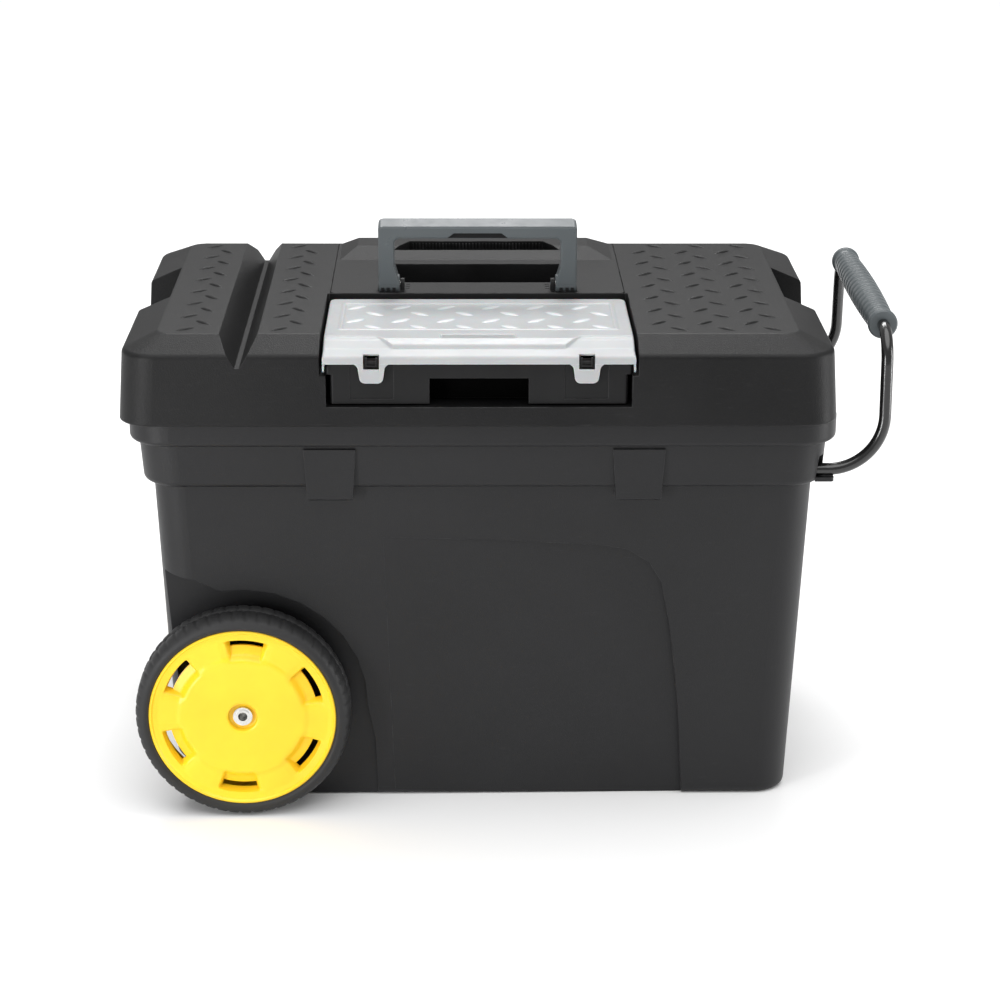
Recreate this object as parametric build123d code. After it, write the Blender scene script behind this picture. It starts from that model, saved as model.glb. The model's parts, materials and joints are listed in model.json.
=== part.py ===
from build123d import *
import os
from math import cos, radians, sin

# Rolling tool box.  Millimetres, +Z up, X along the length (wheels at -X, pull bail at +X),
# Y across the depth (front at -Y).  The origin is on the floor, under the middle of the lid.

# ---- driving dimensions -------------------------------------------------------------------
CHEST_X = 4.0            # the chest's middle plane; the bail end of the chest is the longer one
CHEST_LOW = (258.5, 143.6)   # half length and half depth of the chest wall at the floor
CHEST_HIGH = (269.0, 160.0)  # the same at the underside of the band
CHEST_RADIUS = 27.0
WALL = 3.5

BAND_LOW_Z = 283.0
RIM_LOW_Z = 320.0
PARTING_Z = 339.0
BAND_LOW = (277.0, 166.0)
BAND_HIGH = (279.5, 169.0)
RIM = (286.5, 175.0)
BAND_WALL = 4.0
LEDGE_Z = 287.0          # the shelf inside the band that the tote tray rests on

LID_LOW = (288.5, 181.0)
LID_SHOULDER = (284.8, 178.6)
LID_TOP = (257.0, 154.0)
SHOULDER_Z = 397.0
TOP_Z = 409.0
LID_RADIUS = 28.0
LID_TOP_RADIUS = 14.0
LID_WALL = 3.2
LID_SOFT = 4.5           # rounding of the lid's shoulder and of the edge of its top
LID_HEM = 1.5            # rounding of the foot of its skirt

NOTCH_Y = (-38.0, 64.0)  # the hand notches in the two ends of the lid
GROOVE_X = -191.5
GROOVE_HALF = 15.5
GROOVE_FLAT = 1.8
GROOVE_Z = 387.0

WHEEL_X = -194.8
WHEEL_Z = 89.0
TYRE_RADIUS = 88.9
HUB_RADIUS = 77.4
WHEEL_FACE_Y = 187.0
WHEEL_WIDTH = 42.0
AXLE_RADIUS = 6.0
RUN_FIT = 0.05
WELL_RADIUS = 102.0
WELL_Y = 141.5           # the flat side of the chest behind each wheel
AXLE_END_Y = 181.5
BUSH_END_Y = 143.0
WASHER_END_Y = 144.4
CAP_SPAN_Y = (178.3, 181.0)
HUB_DISH = 3.5           # the hub's face lies this far inside the tyre's
SLOT_COUNT = 6
SLOT_START = 26.0        # degrees from +X to the first slot
SLOT_INNER = 61.5
SLOT_OUTER = 66.5
SLOT_HALF_ANGLE = 12.5
RAMP_INNER = 47.0        # where the ramped pocket before each slot begins

ARCH_TURN = 1.2          # degrees that the arch panel's floor is turned from the wall
ARCH_START = 0.1         # its depth at the wheel end, where it runs out into the wall

PAD_X = (-120.0, 129.0)  # the two pads that hang from the band
PAD_LOW_Z = 273.5
PAD_HIGH_Z = 317.0
PAD_FACE_Y = 170.6

HANDLE_HALF = 83.5
HANDLE_LEG = 13.5
HANDLE_FOOT = 17.7       # the legs widen inwards at the pivots
HANDLE_Y = -14.0         # the carry handle's pivot
HANDLE_PIVOT_Z = 414.0
HANDLE_TOP_Z = 469.0
HANDLE_HALF_DEPTH = 8.3

PANEL_HALF = 123.7
PANEL_FRONT_Y = -25.6
PANEL_REAR_Y = 152.6
PANEL_SEAT_Z = 404.0
SCREW_X = 108.0
SCREW_Y = (0.0, 118.0)
WELL_HALF = 74.0         # the finger well behind the handle
WELL_FLOOR_Z = 378.0
BACK_POCKET_HALF = 60.0
LEG_TRACK_Z = 405.2
HUMP_Z = 414.5
DECK_SLOT_X = (57.5, 61.0)   # three short slots inboard of each pivot lug
DECK_SLOT_Y = (-10.4, -3.5, 3.3)

POCKET_REAR_Y = -27.4    # the organiser's pocket in the lid
POCKET_HALF = 126.5
POCKET_LOW_HALF = 121.6
POCKET_STEP_Z = 381.0
POCKET_FLOOR_Z = 355.6

TRAY_HALF = 118.5        # the organiser tray
TRAY_FRONT_Y = -175.5
TRAY_REAR_Y = -33.0
TRAY_LOW_Z = 357.0
TRAY_TOP_Z = 394.0
TRAY_WALL = 2.2
RECESS_HALF = 39.5       # the finger recess in the tray's front
RECESS_TOP_Z = 378.0
MIDDLE_WALL_Y = -104.0
TAB_X = 85.3             # the middle of each snap tab
TAB_BAY_HALF = 17.5      # the shallow bay behind each tab
EYE_X = (96.0, 104.0)    # the hinge eye on each side of the tray
PIN_RADIUS = 1.2

COVER_HALF = 124.0
COVER_FRONT_Y = -181.0
COVER_REAR_Y = -30.6
COVER_TOP_Z = 404.2
COVER_PIN_Y = -33.8
COVER_PIN_Z = 399.0

BAIL_RADIUS = 5.0
BAIL_LEG_Y = 146.0
BAIL_PIVOT_X = 262.0
BAIL_PIVOT_Z = 292.2
BAIL_REACH_X = 330.0
BAIL_TOP_Z = 404.0
BAIL_BENDS = [8.5, 45, 27, 27, 45, 8.5]
GRIP_HALF = 110.0
GRIP_RADIUS = 12.9
GRIP_WAIST = 10.4

LID_HINGE_Y = 182.0
LID_HINGE_X = (-170.0, 170.0)
HINGE_PIN_RADIUS = 2.0
KNUCKLE_RADIUS = 5.0

TOTE_X = (-262.0, 246.0)
TOTE_LOW_Z = 252.0
TOTE_TOP_Z = 327.0

os.makedirs("parts", exist_ok=True)


# ---- small helpers ------------------------------------------------------------------------
def block(x_span, y_span, z_span):
    """A box given by its three spans."""
    size = [high - low for low, high in (x_span, y_span, z_span)]
    middle = [(high + low) / 2 for low, high in (x_span, y_span, z_span)]
    return Pos(*middle) * Box(*size)


def drafted(centre_x, low_z, low, high_z, high, low_radius, high_radius=None):
    """An upright rounded block whose half sizes run from low to high."""
    if high_radius is None:
        high_radius = low_radius
    foot = Pos(centre_x, 0, low_z) * RectangleRounded(2 * low[0], 2 * low[1], low_radius)
    head = Pos(centre_x, 0, high_z) * RectangleRounded(2 * high[0], 2 * high[1], high_radius)
    return loft([foot.face(), head.face()], ruled=True)


def rod(start, end, radius):
    """A round bar between two points."""
    start, end = Vector(*start), Vector(*end)
    plane = Plane(origin=start, z_dir=end - start)
    return extrude(plane * Circle(radius), (end - start).length)


def front_prism(points, y_span):
    """An X-Z outline carried through a span of Y."""
    face = make_face(Polyline(*[(x, 0, z) for x, z in points], close=True))
    return Pos(0, y_span[0], 0) * extrude(face, y_span[1] - y_span[0], dir=(0, 1, 0))


def side_prism(points, x_span):
    """A Y-Z outline carried through a span of X."""
    face = make_face(Polyline(*[(0, y, z) for y, z in points], close=True))
    return Pos(x_span[0], 0, 0) * extrude(face, x_span[1] - x_span[0], dir=(1, 0, 0))


def both_sides(shape):
    """The shape and its mirror image across the X-Z plane."""
    return shape + mirror(shape, about=Plane.XZ)


def save(node, *solids):
    """One STEP file per node; several solids of a node are kept apart."""
    shapes = []
    for item in solids:
        shapes += item.solids()
    export_step(Compound(children=shapes) if len(shapes) > 1 else shapes[0], f"parts/{node}.step")


def level_edges(shape, z):
    """The edges that lie level at a height."""
    return shape.edges().filter_by(lambda edge: all(abs(end.Z - z) < 0.01 for end in edge.vertices()))


def shrink(half, by):
    """Half sizes brought in by the wall's thickness."""
    return (half[0] - by, half[1] - by)


# ---- chest --------------------------------------------------------------------------------
def chest_half(z, inset=0.0):
    """Half sizes of the chest wall at a height, brought in by the inset."""
    share = z / BAND_LOW_Z
    return tuple(low + (high - low) * share - inset for low, high in zip(CHEST_LOW, CHEST_HIGH))


def chest_core(inset, low_z=0.0, high_z=BAND_LOW_Z):
    """The chest's drafted block, brought in on all four sides."""
    radius = CHEST_RADIUS - inset
    return drafted(CHEST_X, low_z, chest_half(low_z, inset), high_z, chest_half(high_z, inset), radius)


def well_outline(grow):
    """The wheel well's edge: rising to the end wall, an arc round the wheel, and down."""
    radius = WELL_RADIUS + grow
    points = [(-300.0, -5.0), (-300.0, 212.0 + grow), (-262.0, 205.5 + grow), (-232.0, 199.0 + grow)]
    for angle in (100, 88, 75, 62, 49, 36, 23, 10, -2):
        turn = radians(angle)
        points.append((WHEEL_X + radius * cos(turn), WHEEL_Z + radius * sin(turn)))
    points += [(-86.5 + grow, 52.0), (-84.5 + grow, -5.0)]
    return points


def arch_outline(grow):
    """The shallow panel in the front and rear walls: a long low arch."""
    points = [(-70.0 - grow, -5.0), (-78.0 - grow, 237.5 + grow), (17.0, 235.0 + grow)]
    points += [(100.0, 230.5 + grow), (122.0 + grow, 226.5 + grow), (140.0 + grow, 215.0 + grow)]
    points += [(151.0 + grow, 196.0), (159.0 + grow, 155.0), (167.0 + grow, 91.0), (173.5 + grow, -5.0)]
    return points


def toe_cut(lift):
    """The slanted underside at the wheel end, which clears the floor when the box is tipped."""
    return front_prism([(-152.0, -1.0 + lift), (-300.0, 52.0 + lift), (-300.0, -9.0), (-152.0, -9.0)],
                       (-200, 200))


def arch_core(inset):
    """The slab whose face is the floor of the arch panel, deeper towards the bail end."""
    turn = Pos(-78, -150, 0) * Rot(0, 0, ARCH_TURN) * Pos(78, 150, 0)
    return turn * drafted(CHEST_X, -10, chest_half(-10, inset), 300, chest_half(300, inset), 20)


def body_shell():
    outer = chest_core(0)
    well = both_sides(front_prism(well_outline(0), (-210, -WELL_Y)))
    arch = both_sides(front_prism(arch_outline(0), (-210, -60)) - arch_core(ARCH_START))
    outer = fillet(outer.faces().sort_by(Axis.Z)[0].edges(), 7.0)
    outer = outer - well - arch - toe_cut(0)
    inner = chest_core(WALL, WALL + 1)
    inner -= both_sides(front_prism(well_outline(WALL), (-210, -WELL_Y + WALL)))
    inner -= both_sides(front_prism(arch_outline(WALL), (-210, -60)) - arch_core(ARCH_START + WALL))
    inner -= toe_cut(WALL + 1)
    band = drafted(CHEST_X, BAND_LOW_Z, BAND_LOW, RIM_LOW_Z, BAND_HIGH, CHEST_RADIUS + 6)
    band = fillet(band.faces().sort_by(Axis.Z)[0].edges(), 5.0)
    rim = drafted(CHEST_X, RIM_LOW_Z, RIM, PARTING_Z, RIM, CHEST_RADIUS + 8)
    rim = fillet(rim.faces().sort_by(Axis.Z)[0].edges(), 4.0)
    mouth_low = shrink(BAND_LOW, BAND_WALL)
    mouth_high = shrink(BAND_HIGH, BAND_WALL)
    mouth = drafted(CHEST_X, LEDGE_Z, mouth_low, PARTING_Z + 2, mouth_high, CHEST_RADIUS + 2)
    throat = drafted(CHEST_X, BAND_LOW_Z - 1, chest_half(BAND_LOW_Z, WALL), LEDGE_Z + 1,
                     chest_half(BAND_LOW_Z, WALL), CHEST_RADIUS - WALL)
    shell = outer + band + rim - inner - throat - mouth
    shell += axle_tunnel()
    for pad in front_pads():
        shell += pad
    shell += bail_ledges()
    shell -= both_sides(bail_slot())
    shell -= rod((WHEEL_X, -200, WHEEL_Z), (WHEEL_X, 200, WHEEL_Z), AXLE_RADIUS + 3.0)
    return shell


def axle_tunnel():
    """The moulded tube that carries the axle across the inside of the chest."""
    return rod((WHEEL_X, -WELL_Y + 1, WHEEL_Z), (WHEEL_X, WELL_Y - 1, WHEEL_Z), AXLE_RADIUS + 6.0)


def front_pads():
    """The two tapered pads that hang from the band, over the catch springs."""
    section = [(-PAD_FACE_Y, PAD_HIGH_Z), (-PAD_FACE_Y, PAD_LOW_Z + 1.5), (-PAD_FACE_Y + 2, PAD_LOW_Z)]
    section += [(-158.0, PAD_LOW_Z), (-158.0, LEDGE_Z - 1), (-166.5, LEDGE_Z + 3), (-167.6, PAD_HIGH_Z)]
    pads = []
    for middle in PAD_X:
        right = [(16, PAD_LOW_Z), (17.6, PAD_LOW_Z + 0.7), (18.4, PAD_LOW_Z + 2.2), (21, PAD_HIGH_Z)]
        left = [(-x, z) for x, z in reversed(right)]
        pad = front_prism([(middle + x, z) for x, z in right + left], (-PAD_FACE_Y - 1, -155.0))
        pad &= side_prism(section, (middle - 30, middle + 30))
        pads += [pad, mirror(pad, about=Plane.XZ)]
    return pads


def bail_ledges():
    """The little shelf under each bail leg, where the bail comes to rest."""
    ledge = block((274, 289.5), (-BAIL_LEG_Y - 6, -BAIL_LEG_Y + 6), (283.2, 286.7))
    ledge = fillet(ledge.edges().filter_by(Axis.Z).sort_by(Axis.X)[2:], 3.0)
    return both_sides(ledge)


def bail_slot():
    """The corner notch that each bail leg comes out of."""
    outline = [(264.0, 286.9), (300.0, 286.9), (300.0, 305.5), (273.0, 305.5), (264.0, 297.5)]
    return front_prism(outline, (-BAIL_LEG_Y - 8.0, -BAIL_LEG_Y + 7.5))


def tote_tray():
    middle = (TOTE_X[0] + TOTE_X[1]) / 2
    half_x = (TOTE_X[1] - TOTE_X[0]) / 2
    low = (half_x - 6, 149.0)
    high = (half_x, 159.5)
    step = 3.0               # the tray's floor and walls
    tub = drafted(middle, TOTE_LOW_Z, (low[0] - 3, low[1] - 2), LEDGE_Z + 0.3, low, 20)
    tub += drafted(middle, LEDGE_Z + 0.3, (high[0], high[1] - 1), TOTE_TOP_Z, high, 24)
    hollow = drafted(middle, TOTE_LOW_Z + step, (low[0] - 6, low[1] - 5), LEDGE_Z + step,
                     (low[0] - 3, low[1] - 3), 17)
    hollow += drafted(middle, LEDGE_Z + step, (high[0] - 3, high[1] - 4), TOTE_TOP_Z + 1,
                      (high[0] - 3, high[1] - 3), 21)
    tray = tub - hollow
    wall_z = (TOTE_LOW_Z + step - 0.5, TOTE_TOP_Z - 20)
    for x in (-130.0, 30.0):
        tray += block((x, x + 2.5), (-low[1] + 4.0, -30), wall_z)
    tray += block((TOTE_X[0] + 10, TOTE_X[1] - 10), (-31, -28.5), wall_z)
    for x in TOTE_X:
        inward = 1 if x < 0 else -1
        post = block(sorted((x + inward * 2.0, x + inward * 22.0)), (24, 56), (LEDGE_Z + 4, TOTE_TOP_Z))
        tray += post
    return tray


def tote_handle():
    """A flat carrying bar that stands on the tote tray's two end posts."""
    left = TOTE_X[0] + 14
    right = TOTE_X[1] - 14
    points = [(left, TOTE_TOP_Z), (left, 356), (left + 10, 368)]
    points += [(right - 10, 368), (right, 356), (right, TOTE_TOP_Z)]
    points += [(right - 5, TOTE_TOP_Z), (right - 5, 354), (right - 13, 363)]
    points += [(left + 13, 363), (left + 5, 354), (left + 5, TOTE_TOP_Z)]
    return front_prism(points, (28, 52))


# ---- running gear -------------------------------------------------------------------------
def axle():
    """A tube: its open ends show in the middle of the hubs."""
    bar = rod((WHEEL_X, -AXLE_END_Y, WHEEL_Z), (WHEEL_X, AXLE_END_Y, WHEEL_Z), AXLE_RADIUS)
    for side in (-1, 1):
        bar -= rod((WHEEL_X, side * 182, WHEEL_Z), (WHEEL_X, side * 160, WHEEL_Z), 3.8)
    return bar


def axle_caps():
    """The push nut on each end of the axle."""
    caps = []
    for side in (-1, 1):
        ring = rod((WHEEL_X, side * CAP_SPAN_Y[0], WHEEL_Z), (WHEEL_X, side * CAP_SPAN_Y[1], WHEEL_Z), 8.0)
        ring -= rod((WHEEL_X, side * 178, WHEEL_Z), (WHEEL_X, side * 182, WHEEL_Z), AXLE_RADIUS)
        caps.append(ring)
    return caps


def axle_bushes():
    bushes = []
    for side in (-1, 1):
        end = (WHEEL_X, side * BUSH_END_Y, WHEEL_Z)
        sleeve = rod((WHEEL_X, side * 120, WHEEL_Z), end, AXLE_RADIUS + 3.0)
        sleeve += rod((WHEEL_X, side * WELL_Y, WHEEL_Z), end, AXLE_RADIUS + 7.0)
        sleeve -= rod((WHEEL_X, side * 118, WHEEL_Z), (WHEEL_X, side * 145, WHEEL_Z), AXLE_RADIUS)
        bushes.append(sleeve)
    return bushes


def axle_washers():
    washers = []
    for side in (-1, 1):
        washer = rod((WHEEL_X, side * BUSH_END_Y, WHEEL_Z), (WHEEL_X, side * WASHER_END_Y, WHEEL_Z), 12.0)
        washer -= rod((WHEEL_X, side * 142, WHEEL_Z), (WHEEL_X, side * 146, WHEEL_Z), AXLE_RADIUS)
        washers.append(washer)
    return washers


def wheel_turn(outline):
    """Turn an outline of (radius, distance from the middle plane) about the axle."""
    face = make_face(Polyline(*[(WHEEL_X, y, WHEEL_Z + r) for r, y in outline], close=True))
    return revolve(face, Axis((WHEEL_X, 0, WHEEL_Z), (0, 1, 0)))


def hub(side):
    """A dished hub: disc, boss, rim ring and six ramped pockets that end in slots."""
    face = WHEEL_FACE_Y - HUB_DISH
    back = WHEEL_FACE_Y - WHEEL_WIDTH
    bore = AXLE_RADIUS + RUN_FIT
    outline = [(bore, back), (17, back), (17, face - 12), (70, face - 11), (70, back + 2)]
    outline += [(HUB_RADIUS - 2.4, back + 2), (HUB_RADIUS - 2.4, face + 0.4), (HUB_RADIUS, face + 0.4)]
    outline += [(HUB_RADIUS - 1.0, face + 2.0), (70, face + 0.6), (15, face), (11.5, face - 1.5)]
    outline += [(11.5, face - 5.5), (bore, face - 5.5)]
    body = wheel_turn(outline)
    for index in range(SLOT_COUNT):
        body -= wheel_pocket(face, SLOT_START + index * 360 / SLOT_COUNT)
    return body if side > 0 else mirror(body, about=Plane.XZ)


def wheel_pocket(face, angle):
    """One pocket: a ramp going down outwards, and the slot at its deep end."""
    centre = Axis((WHEEL_X, 0, WHEEL_Z), (0, 1, 0))
    ramp = [(RAMP_INNER, face + 3), (RAMP_INNER, face - 0.2)]
    ramp += [(SLOT_OUTER, face - 8.5), (SLOT_OUTER, face + 3)]
    ramp_face = make_face(Polyline(*[(WHEEL_X, y, WHEEL_Z + r) for r, y in ramp], close=True))
    slot = [(SLOT_INNER, face + 3), (SLOT_INNER, face - 15), (SLOT_OUTER, face - 15), (SLOT_OUTER, face + 3)]
    slot_face = make_face(Polyline(*[(WHEEL_X, y, WHEEL_Z + r) for r, y in slot], close=True))
    cut = revolve(ramp_face, centre, 2 * SLOT_HALF_ANGLE + 1.5)
    cut = cut.rotate(centre, -0.75)
    cut += revolve(slot_face, centre, 2 * SLOT_HALF_ANGLE)
    return cut.rotate(centre, 90 - angle - SLOT_HALF_ANGLE)


def tyre(side):
    face = WHEEL_FACE_Y
    back = WHEEL_FACE_Y - WHEEL_WIDTH + 1
    inner = HUB_RADIUS - 2.4
    outline = [(inner, back + 1.5), (80, back + 1), (84, back + 1.5), (87.2, back + 4)]
    outline += [(TYRE_RADIUS, back + 9), (TYRE_RADIUS, face - 10), (87.6, face - 5), (84.6, face - 1.6)]
    outline += [(81, face - 0.2), (78.2, face - 0.6), (HUB_RADIUS, face - 3.1), (inner, face - 3.1)]
    body = wheel_turn(outline)
    return body if side > 0 else mirror(body, about=Plane.XZ)


# ---- bail ---------------------------------------------------------------------------------
def bail_rod():
    """One bent rod: pivot ends, level legs, wide bends, uprights and the top bar."""
    pin_y = BAIL_LEG_Y - 24
    points = [(BAIL_PIVOT_X, -pin_y, BAIL_PIVOT_Z), (BAIL_PIVOT_X, -BAIL_LEG_Y, BAIL_PIVOT_Z)]
    points += [(BAIL_REACH_X, -BAIL_LEG_Y, BAIL_PIVOT_Z), (BAIL_REACH_X, -BAIL_LEG_Y + 8, BAIL_TOP_Z)]
    points += [(BAIL_REACH_X, BAIL_LEG_Y - 8, BAIL_TOP_Z), (BAIL_REACH_X, BAIL_LEG_Y, BAIL_PIVOT_Z)]
    points += [(BAIL_PIVOT_X, BAIL_LEG_Y, BAIL_PIVOT_Z), (BAIL_PIVOT_X, pin_y, BAIL_PIVOT_Z)]
    path = FilletPolyline(*points, radius=BAIL_BENDS)
    section = Plane(origin=points[0], z_dir=(0, -1, 0)) * Circle(BAIL_RADIUS)
    return sweep(section, path=path)


def bail_grip():
    """The moulded grip: fuller in the middle, with a collar at each end."""
    collar = GRIP_RADIUS - 0.7
    outline = [(BAIL_RADIUS, -GRIP_HALF), (collar, -GRIP_HALF), (collar, -GRIP_HALF + 4)]
    outline += [(GRIP_WAIST, -GRIP_HALF + 7), (GRIP_RADIUS - 0.6, -50), (GRIP_RADIUS, 0)]
    outline += [(GRIP_RADIUS - 0.6, 50), (GRIP_WAIST, GRIP_HALF - 7), (collar, GRIP_HALF - 4)]
    outline += [(collar, GRIP_HALF), (BAIL_RADIUS, GRIP_HALF)]
    face = make_face(Polyline(*[(BAIL_REACH_X, y, BAIL_TOP_Z + r) for r, y in outline], close=True))
    return revolve(face, Axis((BAIL_REACH_X, 0, BAIL_TOP_Z), (0, 1, 0)))


def bail_sockets():
    """The bearing block for each end of the bail, screwed inside the chest's end wall."""
    sockets = []
    for side in (-1, 1):
        y_span = sorted((side * (BAIL_LEG_Y - 11), side * (BAIL_LEG_Y - 27)))
        body = block((252.0, 267.0), y_span, (270.0, 301.0))
        body = fillet(body.edges().filter_by(Axis.Y), 3.0)
        body -= rod((BAIL_PIVOT_X, y_span[0] - 1, BAIL_PIVOT_Z), (BAIL_PIVOT_X, y_span[1] + 1, BAIL_PIVOT_Z),
                    BAIL_RADIUS + RUN_FIT)
        body -= bail_screw(side, 1.6)
        sockets.append(body)
    return sockets


def bail_screw(side, radius):
    y = side * (BAIL_LEG_Y - 19)
    shank = rod((250.2, y, 277), (270.5, y, 277), radius)
    return shank + rod((248.6, y, 277), (252.0, y, 277), 2 * radius)


# ---- lid ----------------------------------------------------------------------------------
def groove_outline(grow):
    """The V groove's section; its flanks run on above the lid."""
    rise = 8.0
    slope = (GROOVE_HALF - GROOVE_FLAT) / (TOP_Z - GROOVE_Z)
    wide = GROOVE_HALF + rise * slope + grow
    narrow = GROOVE_FLAT + grow * 0.6
    low = GROOVE_Z - grow
    return [(GROOVE_X - wide, TOP_Z + rise), (GROOVE_X - narrow, low), (GROOVE_X + narrow, low),
            (GROOVE_X + wide, TOP_Z + rise)]


def end_notches(grow):
    """The hand notch in each end of the lid."""
    y_span = (NOTCH_Y[0] - grow, NOTCH_Y[1] + grow)
    reach = LID_TOP[0] + 0.5 - grow
    z_span = (PARTING_Z - 5, TOP_Z + 5)
    return block((-300, -reach), y_span, z_span) + block((reach, 300), y_span, z_span)


def pocket_space(grow):
    """The organiser's pocket: a wide mouth over a narrower well, open at the front."""
    lower = block((-POCKET_LOW_HALF - grow, POCKET_LOW_HALF + grow), (-200, POCKET_REAR_Y + grow),
                  (POCKET_FLOOR_Z - grow, POCKET_STEP_Z + 1))
    upper = block((-POCKET_HALF - grow, POCKET_HALF + grow), (-200, POCKET_REAR_Y + grow),
                  (POCKET_STEP_Z - grow, TOP_Z + 5))
    return lower + upper


def lid_shell():
    foot_z = PARTING_Z + 0.4
    outer = drafted(0, foot_z, LID_LOW, SHOULDER_Z, LID_SHOULDER, LID_RADIUS)
    outer += drafted(0, SHOULDER_Z, LID_SHOULDER, TOP_Z, LID_TOP, LID_RADIUS, LID_TOP_RADIUS)
    outer = fillet(level_edges(outer, TOP_Z) + level_edges(outer, SHOULDER_Z), LID_SOFT)
    outer = fillet(level_edges(outer, foot_z), LID_HEM)
    inner_radius = LID_RADIUS - LID_WALL
    inner = drafted(0, PARTING_Z, shrink(LID_LOW, LID_WALL), SHOULDER_Z - 2.6,
                    shrink(LID_SHOULDER, LID_WALL), inner_radius)
    inner += drafted(0, SHOULDER_Z - 2.6, shrink(LID_SHOULDER, LID_WALL), TOP_Z - LID_WALL,
                     shrink(LID_TOP, 1.5), inner_radius, LID_TOP_RADIUS - 1)
    inner -= front_prism(groove_outline(2.6), (-200, 200))
    inner -= end_notches(LID_WALL)
    inner -= pocket_space(2.4)
    inner -= block((-PANEL_HALF - 5, PANEL_HALF + 5), (PANEL_FRONT_Y - 3, PANEL_REAR_Y + 6), (400.5, TOP_Z))
    shell = outer - inner
    shell -= front_prism(groove_outline(0), (-200, 200))
    shell -= end_notches(0)
    shell -= pocket_space(0)
    shell -= block((-PANEL_HALF - 0.5, PANEL_HALF + 0.5), (PANEL_FRONT_Y - 0.5, PANEL_REAR_Y + 0.5),
                   (PANEL_SEAT_Z, TOP_Z + 5))
    shell -= block((-PANEL_HALF + 9, PANEL_HALF - 9), (PANEL_FRONT_Y + 9, PANEL_REAR_Y - 8), (390, TOP_Z))
    shell -= organiser_hooks(0.3)
    for x in LID_HINGE_X:
        shell -= block((x - 32, x + 32), (174, 190), (PARTING_Z - 1, PARTING_Z + 7.5))
        shell -= rod((x - 32, LID_HINGE_Y, PARTING_Z), (x + 32, LID_HINGE_Y, PARTING_Z), KNUCKLE_RADIUS + 1)
    return shell


def organiser_hooks(grow):
    """Clearance for the cover's rear edge and hinge."""
    return block((-COVER_HALF - 1, COVER_HALF + 1), (POCKET_REAR_Y - 2, POCKET_REAR_Y + 0.5),
                 (395.0 - grow, TOP_Z + 1))


def lid_catches():
    """The two sprung tongues inside the lid's front skirt."""
    catches = []
    for middle in (-150.0, 150.0):
        tongue = block((middle - 15, middle + 15), (-163.4, -161.0), (PARTING_Z - 20, 372))
        tongue += block((middle - 15, middle + 15), (-176.1, -161.0), (350, 372))
        catches.append(tongue)
    return catches


def lid_hinge_leaves():
    """The lid's half of each hinge: two knuckles on a leaf inside the rear skirt."""
    leaves = []
    for x in LID_HINGE_X:
        leaf = block((x - 29, x + 29), (168.5, 176.5), (PARTING_Z + 2.5, PARTING_Z + 7.0))
        leaf += block((x - 29, x + 29), (170.5, 173.5), (PARTING_Z + 2.5, PARTING_Z + 30))
        for near, far in ((-29, -15.3), (15.3, 29)):
            leaf += block((x + near, x + far), (176, LID_HINGE_Y), (PARTING_Z + 2.5, PARTING_Z + 5.0))
            leaf += rod((x + near, LID_HINGE_Y, PARTING_Z), (x + far, LID_HINGE_Y, PARTING_Z), KNUCKLE_RADIUS)
        leaf -= rod((x - 40, LID_HINGE_Y, PARTING_Z), (x + 40, LID_HINGE_Y, PARTING_Z),
                    HINGE_PIN_RADIUS + RUN_FIT)
        leaves.append(leaf)
    return leaves


def chest_hinge_knuckles():
    """The chest's half of each hinge: one knuckle on a bracket against the rim."""
    knuckles = []
    for x in LID_HINGE_X:
        knuckle = rod((x - 15, LID_HINGE_Y, PARTING_Z), (x + 15, LID_HINGE_Y, PARTING_Z), KNUCKLE_RADIUS)
        knuckle += block((x - 15, x + 15), (RIM[1], LID_HINGE_Y), (PARTING_Z - 15, PARTING_Z - 0.5))
        knuckle -= rod((x - 40, LID_HINGE_Y, PARTING_Z), (x + 40, LID_HINGE_Y, PARTING_Z), HINGE_PIN_RADIUS)
        knuckles.append(knuckle)
    return knuckles


def hinge_pins():
    return [rod((x - 30, LID_HINGE_Y, PARTING_Z), (x + 30, LID_HINGE_Y, PARTING_Z), HINGE_PIN_RADIUS)
            for x in LID_HINGE_X]


# ---- centre panel -------------------------------------------------------------------------
def hump():
    """The low raised back of the panel, sloping to its sides and to its front."""
    low = [(-PANEL_HALF, 84), (PANEL_HALF, 84), (PANEL_HALF, PANEL_REAR_Y), (-PANEL_HALF, PANEL_REAR_Y)]
    high = [(-106, 122), (100, 122), (100, PANEL_REAR_Y), (-106, PANEL_REAR_Y)]
    foot = make_face(Polyline(*[(x, y, TOP_Z - 1) for x, y in low], close=True))
    head = make_face(Polyline(*[(x, y, HUMP_Z) for x, y in high], close=True))
    return loft([foot, head], ruled=True)


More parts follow.
